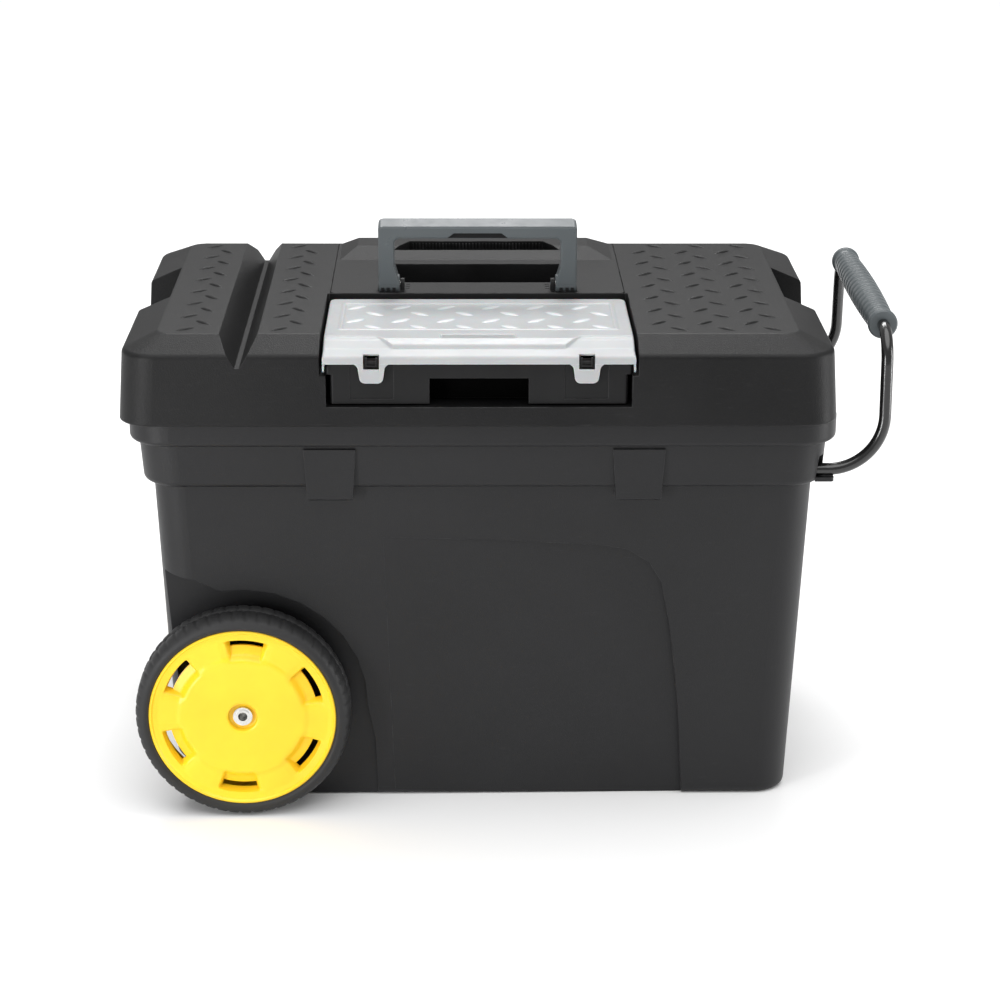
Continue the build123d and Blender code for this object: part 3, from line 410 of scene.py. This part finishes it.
def build_tyre(name, body, side, node):
    """A tyre with two staggered rows of shallow tread blocks round rounded shoulders."""
    face, back, top = TYRE_FACE, TYRE_BACK, TYRE_RADIUS
    outer = [(RIM_RADIUS, face - 3.4), (76.8, face - 3.3), (77.6, face - 2.4), (78.6, face - 1.0),
             (80.2, face - 0.3), (82.0, face - 0.5), (83.8, face - 1.2), (85.4, face - 2.4),
             (86.7, face - 4.2), (87.7, face - 6.4), (88.4, face - 8.8)]
    tread = [(top - 0.1, face - 11), (top, face - 14), (top, face - 18.4), (top - 0.9, face - 19.3),
             (top - 0.9, face - 21.0), (top, face - 21.9), (top, back + 12), (top - 0.1, back + 10)]
    inner = [(88.2, back + 7), (87.0, back + 4.4), (85.0, back + 2.2), (82.5, back + 1.0),
             (79.0, back + 0.6), (76.5, back + 1.4), (RIM_RADIUS, back + 2.0)]
    profile = outer + tread + inner
    count = TREAD_BLOCKS * BLOCK_STEPS
    verts = []
    for radius, y in profile:
        depth_share = ease(radius, 83.6, 87.5)
        stagger = 0.0 if y > (face + back) / 2 else 0.5
        for index in range(count):
            phase = (index / BLOCK_STEPS + stagger + 0.012 * (y - face)) % 1.0
            groove = 1.0 - ease(abs(phase - 0.5), 0.33, 0.45)
            drop = GROOVE_DEPTH * depth_share * (1.0 - groove)
            verts.append(wheel_point(radius - drop, 360.0 * index / count, y, side))
    faces = sheet_faces(len(profile), count, wrap_rows=True, wrap_columns=True)
    piece(name, verts, faces, body, "tyre_rubber", [node], 50)


def hub_radii():
    """The hub's section from bore to rim and back: radius and depth, None where the face sets it."""
    inner = [(6.2, HUB_FACE - 5.5), (10.6, HUB_FACE - 5.5), (11.4, HUB_FACE - 5.2), (11.7, HUB_FACE - 4.2),
             (11.9, HUB_FACE - 1.6), (12.4, HUB_FACE - 0.7), (13.4, HUB_FACE - 0.2), (15.0, HUB_FACE)]
    face_radii = (22, 30, 38, 42, 44, 45.5, 47, 48.5, 50, 51.5, 53, 54.5, 56, 57.5, 59, 60.2, SLOT_IN,
                  63.2, 64.8, SLOT_OUT, 67.0, 67.6, 68.2, 69.0, 70.0, 71.5, 73.0, 74.0)
    outer = [(radius, None) for radius in face_radii]
    rim = [(RIM_RADIUS, HUB_FACE + 1.3), (76.4, HUB_FACE + 1.2), (77.1, HUB_FACE + 0.6),
           (HUB_RADIUS, HUB_FACE - 0.6), (HUB_RADIUS, HUB_FACE - 2.6), (RIM_RADIUS, HUB_FACE - 3.0),
           (RIM_RADIUS, TYRE_BACK + 2.4), (73.6, TYRE_BACK + 2.4)]
    deep = HUB_FACE - 10.4
    back = [(73.6, deep), (SLOT_OUT, deep), (64.8, deep), (63.2, deep), (SLOT_IN, deep), (40.0, deep),
            (17.0, deep), (17.0, TYRE_BACK + 0.2), (6.2, TYRE_BACK + 0.2)]
    return inner + outer + rim + back


def hub_face(radius, angle):
    """The moulded face: a flat centre, a low step, a raised lip, and six ramped pockets."""
    step = -1.1 * ease(radius, 50.5, 55.0) + 0.9 * ease(radius, 70.0, 74.0)
    off = (angle - SLOT_FIRST + 30.0) % 60.0 - 30.0
    across = 1.0 - ease(abs(off), SLOT_HALF + 0.1, SLOT_HALF + 2.6)
    ramp = ease(radius, 49.0, 55.0) * 2.4 + max(0.0, radius - 51.0) / (SLOT_OUT - 51.0) * 5.6
    wall = 1.0 - ease(radius, SLOT_OUT + 0.2, SLOT_OUT + 1.7)
    shoulder = 0.9 * (1.0 - ease(abs(off), SLOT_HALF + 2.0, SLOT_HALF + 9.0)) * ease(radius, 47.0, 54.0)
    shoulder *= 1.0 - ease(radius, 66.0, 70.5)
    return HUB_FACE + step - across * wall * ramp - shoulder


def build_hub(name, body, side, node):
    """A dished hub with six slots cut through from the face to the back."""
    profile = hub_radii()
    count = 360
    angles = [SLOT_FIRST + 0.5 + index for index in range(count)]
    verts = []
    for radius, y in profile:
        for angle in angles:
            depth = hub_face(radius, angle) if y is None else y
            verts.append(wheel_point(radius, angle, depth, side))

    radii = [radius for radius, _ in profile]
    front_in = radii.index(SLOT_IN)
    front_out = radii.index(SLOT_OUT)
    back_out = len(radii) - 1 - radii[::-1].index(SLOT_OUT)
    back_in = len(radii) - 1 - radii[::-1].index(SLOT_IN)

    def in_slot(column):
        off = (angles[column % count] + 0.5 - SLOT_FIRST + 30.0) % 60.0 - 30.0
        return abs(off) < SLOT_HALF

    def keep(row, column):
        front = front_in <= row < front_out
        rear = back_out <= row < back_in
        return not ((front or rear) and in_slot(column))

    faces = sheet_faces(len(profile), count, wrap_rows=True, wrap_columns=True, keep=keep)
    for column in range(count):
        nxt = (column + 1) % count
        if in_slot(column):
            for front, rear in ((front_in, back_in), (front_out, back_out)):
                near, far = front * count, rear * count
                faces.append((near + column, near + nxt, far + nxt, far + column))
        if in_slot(column) != in_slot(nxt):
            for step in range(front_out - front_in):
                a, b = front_in + step, front_in + step + 1
                c, d = back_in - step, back_in - step - 1
                faces.append((a * count + nxt, b * count + nxt, d * count + nxt, c * count + nxt))
    piece(name, verts, faces, body, "yellow_plastic", [node], 34)


# ---- bail grip ----------------------------------------------------------------------------
GRIP_LOW, GRIP_HIGH = node_box("bail_grip")
GRIP_RIBS = 19
RIB_DEPTH = 1.15


def build_grip():
    """A grip fuller in the middle, ribbed on its upper and inner half, with a collar at each end."""
    middle = (GRIP_LOW + GRIP_HIGH) / 2
    half = (GRIP_HIGH.y - GRIP_LOW.y) / 2
    rows = 330
    count = 72
    ribbed = half - 9.0
    verts = []
    for row in range(rows + 1):
        t = -half + 2 * half * row / rows
        full = 10.4 + 2.4 * cos(pi / 2 * min(1.0, abs(t) / (half - 6.0))) ** 0.8
        lip = ease(abs(t), half - 7.5, half - 5.0)
        collar = 12.2 * lip + full * (1 - lip)
        end = 1.0 - 0.10 * ease(abs(t), half - 1.6, half)
        inside = 1.0 - ease(abs(t), ribbed - 2.5, ribbed)
        wave = 0.5 - 0.5 * cos(2 * pi * (t + ribbed) / (2 * ribbed) * GRIP_RIBS)
        groove = RIB_DEPTH * (1.0 - ease(wave, 0.05, 0.55)) * inside
        for column in range(count):
            angle = 2 * pi * column / count
            # angle 0 points outwards (+X), pi / 2 up
            facing = cos(angle - radians(128))
            mask = ease(facing, -0.05, 0.22)
            radius = collar * end - groove * mask
            verts.append((middle.x + radius * cos(angle), middle.y + t, middle.z + radius * sin(angle)))
    for t in (-half, half):
        for column in range(count):
            angle = 2 * pi * column / count
            verts.append((middle.x + 5.0 * cos(angle), middle.y + t, middle.z + 5.0 * sin(angle)))
    faces = sheet_faces(rows + 1, count, wrap_columns=True)
    for start, ring in ((0, (rows + 1) * count), (rows * count, (rows + 2) * count)):
        for column in range(count):
            nxt = (column + 1) % count
            faces.append((start + column, start + nxt, ring + nxt, ring + column))
    piece("grip_ribbed", verts, faces, "bail", "grey_plastic", ["bail_grip"], 55)


# ---- tread marks on the lid ---------------------------------------------------------------
LID_TOP = 409.0          # the flat of the lid; its highest point is the panel's hump
MARK_PITCH = 40.3        # between marks along a row, front to back
MARK_LENGTH = 18.5
MARK_WIDTH = 5.2
MARK_HEIGHT = 1.5
MARK_TILT = 38.0         # degrees


def build_lid_treads():
    """Rows of raised marks, tilted by turns, on the lid's flats."""
    rear, between = 141.0, 120.8
    rows = [(x, rear, 8, MARK_TILT) for x in (-235.0, -160.0)]
    rows += [(x, between, 7, -MARK_TILT - 8) for x in (-222.5, -147.0)]
    rows += [(x, between - 2, 7, MARK_TILT) for x in (145.0, 182.7, 220.0)]
    rows += [(x, rear, 8, -MARK_TILT) for x in (161.0, 198.7, 235.5)]
    parts = []
    for x, first, count, tilt in rows:
        for index in range(count):
            centre = (x, first - MARK_PITCH * index, LID_TOP - 0.05)
            parts.append(lens(centre, MARK_LENGTH, MARK_WIDTH, MARK_HEIGHT, radians(tilt)))
    verts, faces = gather(parts)
    piece("lid_treads", verts, faces, "lid", "lid_plastic")


# ---- organiser cover ----------------------------------------------------------------------
COVER_LOW, COVER_HIGH = node_box("organiser_cover")
BEAD_LOW = 391.0
TAB_X = 85.3
WINDOW_HALF = 6.3
WINDOW_LOW = 386.6
COVER_TOP = 405.2        # the platform; the rear edge rolls down to clear the lid as the cover opens
LIP_START = -154.0       # where the platform begins to slope down to the riser
LIP_REACH, LIP_FALL = 11.0, 2.7
RISER_MIDDLE = -165.0    # the riser's place in the middle, and how far back it steps at the sides
RISER_STEP_BACK = 17.0
RISER_HALF, RISER_SLANT = 69.0, 13.0
RISER_DROP, RISER_LESS = 2.4, 1.6
APRON_FALL = 5.3         # the riser and the apron together
PANEL_HALF, PANEL_REAR, PANEL_FRONT = 113.0, -44.0, -129.0
BAR_X, BAR_Y = -0.4, -148.0
COVER_WALL = 1.5
COVER_CORNER = 7.0
BEAD_RADIUS = 2.4
# for each row: its depth, tilt in degrees and first mark
COVER_MARK_ROWS = ((-58.5, 40.0, -100.2), (-78.5, -40.0, -85.2), (-100.0, 40.0, -100.6),
                   (-120.0, -40.0, -85.0))
COVER_MARK_PITCH = 37.0
COVER_MARK_SIZE = (19.8, 8.2, 1.0)


def cover_height(x, y):
    """Height of the cover's top: platform, ridge round the marks, slot, sloping lip, riser and apron."""
    across = np.clip((np.abs(x) - RISER_HALF) / RISER_SLANT, 0, 1)
    edge = RISER_MIDDLE + RISER_STEP_BACK * across
    slope = LIP_FALL * np.clip((LIP_START - y) / LIP_REACH, 0, 1)
    drop = RISER_DROP - RISER_LESS * across
    run = np.clip((edge - y) / (edge - COVER_LOW.y), 0, 1)
    z = COVER_TOP - slope - drop * ease(edge - y, -0.9, 1.1) - (APRON_FALL - drop) * run
    inset = np.minimum(PANEL_HALF - np.abs(x), np.minimum(PANEL_REAR - y, y - PANEL_FRONT))
    z = z + 0.5 * ease(inset, -0.4, 0.7) * (1 - ease(inset, 2.6, 3.6)) - 0.3 * ease(inset, 2.6, 3.6)
    slot = ease(30.5 - np.abs(x - BAR_X), 0.0, 0.9) * ease(6.0 - np.abs(y - BAR_Y), 0.0, 0.9)
    return z - 0.9 * slot


def cover_row(y, columns):
    """The places across the cover at one depth, with side walls, corners rounded at the rear."""
    half, corner = COVER_HIGH.x, COVER_CORNER
    short = max(0.0, corner - (COVER_HIGH.y - y))
    wide = half - corner + np.sqrt(corner ** 2 - short ** 2)
    walls = np.array([9.0, 6.0, 3.0, 1.6])
    x = np.concatenate([np.full(4, -wide), np.linspace(-1, 1, columns) * wide, np.full(4, wide)])
    down = np.concatenate([walls, np.zeros(columns), walls[::-1]])
    side_round, rear_round = 1.5, 1.6
    flat = np.clip(x, side_round - wide, wide - side_round)
    z = cover_height(flat, np.full_like(x, y))
    over = np.clip((np.abs(x) - (wide - side_round)) / side_round, 0, 1)
    behind = max(0.0, 1.0 - (COVER_HIGH.y - y) / rear_round)
    rolled = side_round * (1 - np.sqrt(1 - over ** 2))
    return x, z - rolled - rear_round * (1 - np.sqrt(1 - behind ** 2)) - down


def build_cover():
    """The frosted cover: one moulded sheet with side walls, front bead and the tabs' windows."""
    rear, front, corner, bead = COVER_HIGH.y, COVER_LOW.y, COVER_CORNER, BEAD_RADIUS
    columns, rows = 331, 200
    ys = np.concatenate([rear - corner * (1 - np.cos(np.linspace(0, pi / 2, 12)))[:-1],
                         np.linspace(rear - corner, front + bead, rows)])
    sheet = []
    for y in ys:
        x, z = cover_row(y, columns)
        sheet.append([(a, y, b) for a, b in zip(x, z)])
    x, z = cover_row(front + bead, columns)
    for turn in np.radians((20, 40, 60, 80, 90)):
        sheet.append([(a, front + bead * (1 - sin(turn)), b - bead * (1 - cos(turn))) for a, b in zip(x, z)])
    edge = sheet[-1]
    for share in (0.33, 0.66, 1.0):
        sheet.append([(a, b, c + (min(c, BEAD_LOW) - c) * share) for a, b, c in edge])
    width = len(edge)
    first = len(ys) - 6

    def keep(row, column):
        middle = (edge[column][0] + edge[min(column + 1, width - 1)][0]) / 2
        return row < first or abs(abs(middle) - TAB_X) > WINDOW_HALF

    verts = [vert for row in sheet for vert in row]
    cover = piece("cover_frosted", verts, sheet_faces(len(sheet), width, keep=keep), "organiser_cover",
                  "frosted_cover", ["organiser_cover"])
    thick = cover.modifiers.new("thick", "SOLIDIFY")
    thick.thickness = COVER_WALL * MM
    thick.offset = -1.0
    apply_modifiers(cover)
    smooth(cover, 38)


def build_cover_marks():
    """Four rows of raised lozenges on the cover's panel."""
    parts = []
    for y, tilt, first in COVER_MARK_ROWS:
        for index in range(6):
            centre = (first + COVER_MARK_PITCH * index, y, COVER_TOP - 0.4)
            parts.append(lens(centre, *COVER_MARK_SIZE, radians(tilt)))
    verts, faces = gather(parts)
    marks = piece("cover_marks", verts, faces, "organiser_cover", "frosted_cover")
    marks.data.materials[0] = MARK_MATERIAL


def build_cover_bar():
    """The narrow darker bar let into the slot in the cover."""
    verts, faces = box_part((-29.7, -153.0, COVER_TOP - 1.1), (28.9, -143.0, COVER_TOP - 0.4))
    bar = piece("cover_bar", verts, faces, "organiser_cover", "frosted_cover")
    bar.data.materials[0] = BAR_MATERIAL


def plate(name, outline, y_span, body, slot, round_by=0.5):
    """A flat X-Z outline made into a plate with softened edges."""
    bm = bmesh.new()
    ring = [bm.verts.new(Vector((x, y_span[0], z)) * MM) for x, z in outline]
    face = bm.faces.new(ring)
    extruded = bmesh.ops.extrude_face_region(bm, geom=[face])
    moved = [item for item in extruded["geom"] if isinstance(item, bmesh.types.BMVert)]
    bmesh.ops.translate(bm, verts=moved, vec=Vector((0, y_span[1] - y_span[0], 0)) * MM)
    bmesh.ops.recalc_face_normals(bm, faces=bm.faces)
    bmesh.ops.bevel(bm, geom=list(bm.edges), offset=round_by * MM, segments=2, affect="EDGES",
                    clamp_overlap=True)
    mesh = bpy.data.meshes.new(name)
    bm.to_mesh(mesh)
    bm.free()
    obj = bpy.data.objects.new(name, mesh)
    bpy.context.scene.collection.objects.link(obj)
    smooth(obj, 40)
    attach(obj, body)
    paint(obj, slot)
    return obj


def arc(x, z, radius, start, end, steps=5):
    """Points on an arc, degrees."""
    turns = [radians(start + (end - start) * index / steps) for index in range(steps + 1)]
    return [(x + radius * cos(turn), z + radius * sin(turn)) for turn in turns]


RECESS_HALF, RECESS_TOP, RECESS_BACK = 39.3, 377.8, -159.5


def build_snap_tabs():
    """The two tabs below the bead, wider where they leave it."""
    low = COVER_LOW.z
    for side, name in ((-1, "snap_tab_left"), (1, "snap_tab_right")):
        middle = side * TAB_X
        half = [(WINDOW_HALF, WINDOW_LOW), (WINDOW_HALF, BEAD_LOW + 0.4), (14.2, BEAD_LOW + 0.4)]
        half += [(11.6, BEAD_LOW - 1.6), (10.6, BEAD_LOW - 3.4), (9.6, low + 5.0)]
        half += arc(4.9, low + 4.6, 4.6, 0, -90)
        left = [(-x, z) for x, z in reversed(half)]
        # the outline starts and ends at the notch under the window
        plate(name, [(middle + x, z) for x, z in half + left], (COVER_LOW.y + 0.05, COVER_LOW.y + 2.2),
              "organiser_cover", "frosted_cover")


def build_stud_ribs():
    """The U-shaped ribs on the face of each stud, seen through the tab's window."""
    for side, name in ((-1, "stud_rib_left"), (1, "stud_rib_right")):
        middle = side * TAB_X
        spans = [(-4.6, -3.4, 388.4, 395.6), (3.4, 4.6, 388.4, 395.6), (-3.4, 3.4, 388.4, 389.6),
                 (-5.9, -5.2, 387.0, 396.6), (5.2, 5.9, 387.0, 396.6)]
        parts = [box_part((middle + a, -179.4, low), (middle + b, -176.0, high)) for a, b, low, high in spans]
        verts, faces = gather(parts)
        piece(name, verts, faces, "organiser", "black_plastic")


def build_recess_shade():
    """A near-black plate on the rear wall of the finger recess in the tray's front: painted shade for the unlit
    wall.
    """
    low = node_box("organiser_tray")[0].z
    outline = [(-RECESS_HALF, low + 0.3), (RECESS_HALF, low + 0.3), (RECESS_HALF, RECESS_TOP),
               (-RECESS_HALF, RECESS_TOP)]
    shade_sheet = plate("recess_painted_shade", outline, (RECESS_BACK - 0.4, RECESS_BACK + 0.2), "organiser",
                  "black_plastic", 0.1)
    shade_sheet.data.materials[0] = SHADE_MATERIAL


def box_part(low, high):
    """The vertices and faces of a block."""
    xs, ys, zs = zip(low, high)
    verts = [(x, y, z) for z in zs for y in ys for x in xs]
    return verts, [(0, 2, 3, 1), (4, 5, 7, 6), (0, 1, 5, 4), (2, 6, 7, 3), (0, 4, 6, 2), (1, 3, 7, 5)]


COMB_RIBS = 39
COMB_FIRST = -57.0
COMB_PITCH = 3.0


def build_pocket_comb():
    """Fine upright ribs on the rear wall of the pocket behind the ledge."""
    parts = []
    for index in range(COMB_RIBS):
        x = COMB_FIRST + COMB_PITCH * index
        parts.append(box_part((x - 0.6, 137.4, 392.0), (x + 0.6, 139.3, 412.6)))
    verts, faces = gather(parts)
    piece("pocket_comb", verts, faces, "lid", "lid_plastic")


# ---- carry handle -------------------------------------------------------------------------
HANDLE_LOW, HANDLE_HIGH = node_box("carry_handle")
PIVOT = Vector(joint("carry_handle_fold")["pos_m"]) / MM
LEG_WIDTH = 13.5
FOOT_WIDTH = 17.7
BAR_UNDER = 455.0        # the bar's underside at the front
UNDER_SLOPE = 3.5        # how much lower the bar's underside is at the rear
TOP_SLOPE = 4.2          # how much lower the bar's top is at the front
NOTCH_DEPTH = 9.5
NOTCH_TOP = 459.5


def turned_x(x_span, radius, count=40):
    """A short cylinder about the handle's pivot, with softened rims."""
    low, high = x_span
    profile = [(low, 0.05), (low, radius - 0.8), (low + 0.8, radius), (high - 0.8, radius),
               (high, radius - 0.8), (high, 0.05)]
    verts = [(x, PIVOT.y + r * cos(2 * pi * k / count), PIVOT.z + r * sin(2 * pi * k / count))
             for x, r in profile for k in range(count)]
    return verts, sheet_faces(len(profile), count, wrap_columns=True)


def cut_notch(handle, under):
    """Cuts the part-depth finger notch into the bar's front and covers its rear wall with a black sheet, which is
    painted shade.
    """
    half, shoulder = 26.0, 20.0
    outline = [(-half, under - 12.0), (half, under - 12.0), (half, under), (shoulder, NOTCH_TOP),
               (-shoulder, NOTCH_TOP), (-half, under)]
    wall = HANDLE_LOW.y + NOTCH_DEPTH
    cutter = plate("notch_cutter", outline, (HANDLE_LOW.y - 2.0, wall), "carry_handle", "grey_plastic", 0.3)
    cut = handle.modifiers.new("cut", "BOOLEAN")
    cut.operation = "DIFFERENCE"
    cut.solver = "EXACT"
    cut.object = cutter
    apply_modifiers(handle)
    bpy.data.objects.remove(cutter)
    smooth(handle, 40)
    # a black sheet on the notch's rear wall: painted shade
    low = under - UNDER_SLOPE * NOTCH_DEPTH / (HANDLE_HIGH.y - HANDLE_LOW.y) + 0.3
    shade_sheet = [(-half + 0.3, low), (half - 0.3, low), (half - 0.3, under), (shoulder - 0.2, NOTCH_TOP - 0.2),
             (0.2 - shoulder, NOTCH_TOP - 0.2), (0.3 - half, under)]
    plate("notch_painted_shade", shade_sheet, (wall - 0.3, wall + 0.2), "carry_handle", "black_plastic", 0.1)


def build_handle():
    """The U of the carry handle with its finger notch, sloping top, flared feet, and black blocks at the foot
    vents, which are painted shade for the openings.
    """
    half, top = HANDLE_HIGH.x, HANDLE_HIGH.z
    inner, foot, under = half - LEG_WIDTH, half - FOOT_WIDTH, BAR_UNDER
    side = [(inner - 3.0, under), (inner, under - 3.0), (inner, 431.0)]
    side += [(foot + 1.4, 421.5), (foot, 417.5), (foot, PIVOT.z), (half, PIVOT.z), (half, top - 3.0)]
    side += [(half - 0.9, top - 0.9), (half - 3.0, top)]
    left = [(-x, z) for x, z in reversed(side)]
    handle = plate("handle_moulded", side + left, (HANDLE_LOW.y, HANDLE_HIGH.y), "carry_handle",
                   "grey_plastic", 0.9)
    for vert in handle.data.vertices:
        place = vert.co / MM
        share = (HANDLE_HIGH.y - place.y) / (HANDLE_HIGH.y - HANDLE_LOW.y)
        if place.z > top - 6.0:
            vert.co.z -= TOP_SLOPE * share * ease(place.z, top - 6.0, top - 1.2) * MM
        elif abs(place.x) < inner - 1.0:
            vert.co.z -= UNDER_SLOPE * (1.0 - share) * ease(place.z, under - 4.0, under - 1.5) * MM
    cut_notch(handle, under)
    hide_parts("carry_handle")
    feet = []
    vent_shades = []
    for sign in (-1, 1):
        feet.append(turned_x(sorted((sign * foot, sign * half)), HANDLE_HIGH.y - PIVOT.y))
        for x in (70.5, 75.5, 80.0):
            middle = sign * x
            # black blocks where the vents open: painted shade
            vent_shades.append(box_part((middle - 1.4, HANDLE_LOW.y + 0.1, 409.3), (middle + 1.4, PIVOT.y, 412.9)))
    verts, faces = gather(feet)
    piece("handle_feet", verts, faces, "carry_handle", "grey_plastic")
    verts, faces = gather(vent_shades)
    piece("handle_vent_shades", verts, faces, "carry_handle", "black_plastic")


# ---- painting the CAD nodes ---------------------------------------------------------------
def paint_frame():
    """Gives every CAD node the material of its slot in the record."""
    for part in frame["record"]["subparts"]:
        paint(nodes[part["node"]], part["material_slot"])


# ---- camera, light and floor --------------------------------------------------------------
CAMERA_PLACE = (-0.018, -2.159, 0.961)
CAMERA_PITCH = 19.05     # degrees below level
CAMERA_YAW = 1.01
CAMERA_ROLL = -0.24
CAMERA_LENS = 93.8       # on a 36 mm sensor


def build_camera():
    """The camera, level with the horizon but for a small roll."""
    data = bpy.data.cameras.new("camera")
    data.lens = CAMERA_LENS
    data.sensor_width = 36.0
    data.clip_end = 60.0
    camera = bpy.data.objects.new("camera", data)
    bpy.context.scene.collection.objects.link(camera)
    pitch, yaw, roll = radians(CAMERA_PITCH), radians(CAMERA_YAW), radians(CAMERA_ROLL)
    ahead = Vector((sin(yaw) * cos(pitch), cos(yaw) * cos(pitch), -sin(pitch)))
    right = Vector((cos(yaw), -sin(yaw), 0.0))
    down = ahead.cross(right)
    level = right * cos(roll) + down * sin(roll)
    plumb = -right * sin(roll) + down * cos(roll)
    camera.matrix_world = Matrix((
        (level.x, -plumb.x, -ahead.x, CAMERA_PLACE[0]),
        (level.y, -plumb.y, -ahead.y, CAMERA_PLACE[1]),
        (level.z, -plumb.z, -ahead.z, CAMERA_PLACE[2]),
        (0, 0, 0, 1)))
    bpy.context.scene.camera = camera


def softbox(name, place, aim, size, power):
    """A rectangular area light, sizes in metres and power in watts."""
    data = bpy.data.lights.new(name, "AREA")
    data.shape = "RECTANGLE"
    data.size, data.size_y = size
    data.energy = power
    light = bpy.data.objects.new(name, data)
    light.location = place
    light.rotation_euler = (Vector(aim) - Vector(place)).to_track_quat("-Z", "Y").to_euler()
    bpy.context.scene.collection.objects.link(light)


def build_studio():
    """Even white surroundings, a broad light from above, three soft boxes and the floor."""
    world = bpy.data.worlds.new("studio")
    world.use_nodes = True
    world.node_tree.nodes["Background"].inputs["Color"].default_value = (1.0, 1.0, 1.0, 1)
    world.node_tree.nodes["Background"].inputs["Strength"].default_value = 0.42
    bpy.context.scene.world = world
    bpy.context.scene.view_settings.view_transform = "Standard"
    data = bpy.data.lights.new("overhead", "SUN")
    data.energy = 2.5
    data.angle = radians(70)
    overhead = bpy.data.objects.new("overhead", data)
    overhead.rotation_euler = (radians(12), 0, 0)
    bpy.context.scene.collection.objects.link(overhead)
    softbox("rear_box", (0.0, 1.7, 2.3), (0, 0, 0.45), (1.8, 0.7), 34)
    softbox("left_strip", (-1.35, -1.5, 0.42), (-0.2, 0, 0.3), (0.3, 0.8), 16)
    softbox("right_strip", (1.9, -0.3, 0.45), (0.2, 0, 0.3), (0.3, 0.9), 12)
    mesh = bpy.data.meshes.new("floor")
    reach = 12.0
    corners = [(-reach, -reach, 0), (reach, -reach, 0), (reach, reach, 0), (-reach, reach, 0)]
    mesh.from_pydata(corners, [], [(0, 1, 2, 3)])
    floor = bpy.data.objects.new("floor", mesh)
    bpy.context.scene.collection.objects.link(floor)
    pale = Material("floor_paper")
    tone = pale.mix(pale.noise(3.0, 3.0), (0.86, 0.86, 0.86, 1), (0.89, 0.89, 0.89, 1))
    pale.set("Base Color", tone)
    pale.shader.inputs["Roughness"].default_value = 0.85
    floor.data.materials.append(pale.data)


# ---- make everything ----------------------------------------------------------------------
build_camera()
build_studio()
paint_frame()
build_tyre("tyre_front_treaded", "wheel_front", -1, "wheel_front_tyre")
build_tyre("tyre_rear_treaded", "wheel_rear", 1, "wheel_rear_tyre")
build_hub("hub_front_moulded", "wheel_front", -1, "wheel_front_hub")
build_hub("hub_rear_moulded", "wheel_rear", 1, "wheel_rear_hub")
build_grip()
build_lid_treads()
build_cover()
build_cover_marks()
build_cover_bar()
build_snap_tabs()
build_stud_ribs()
build_recess_shade()
build_handle()
build_pocket_comb()
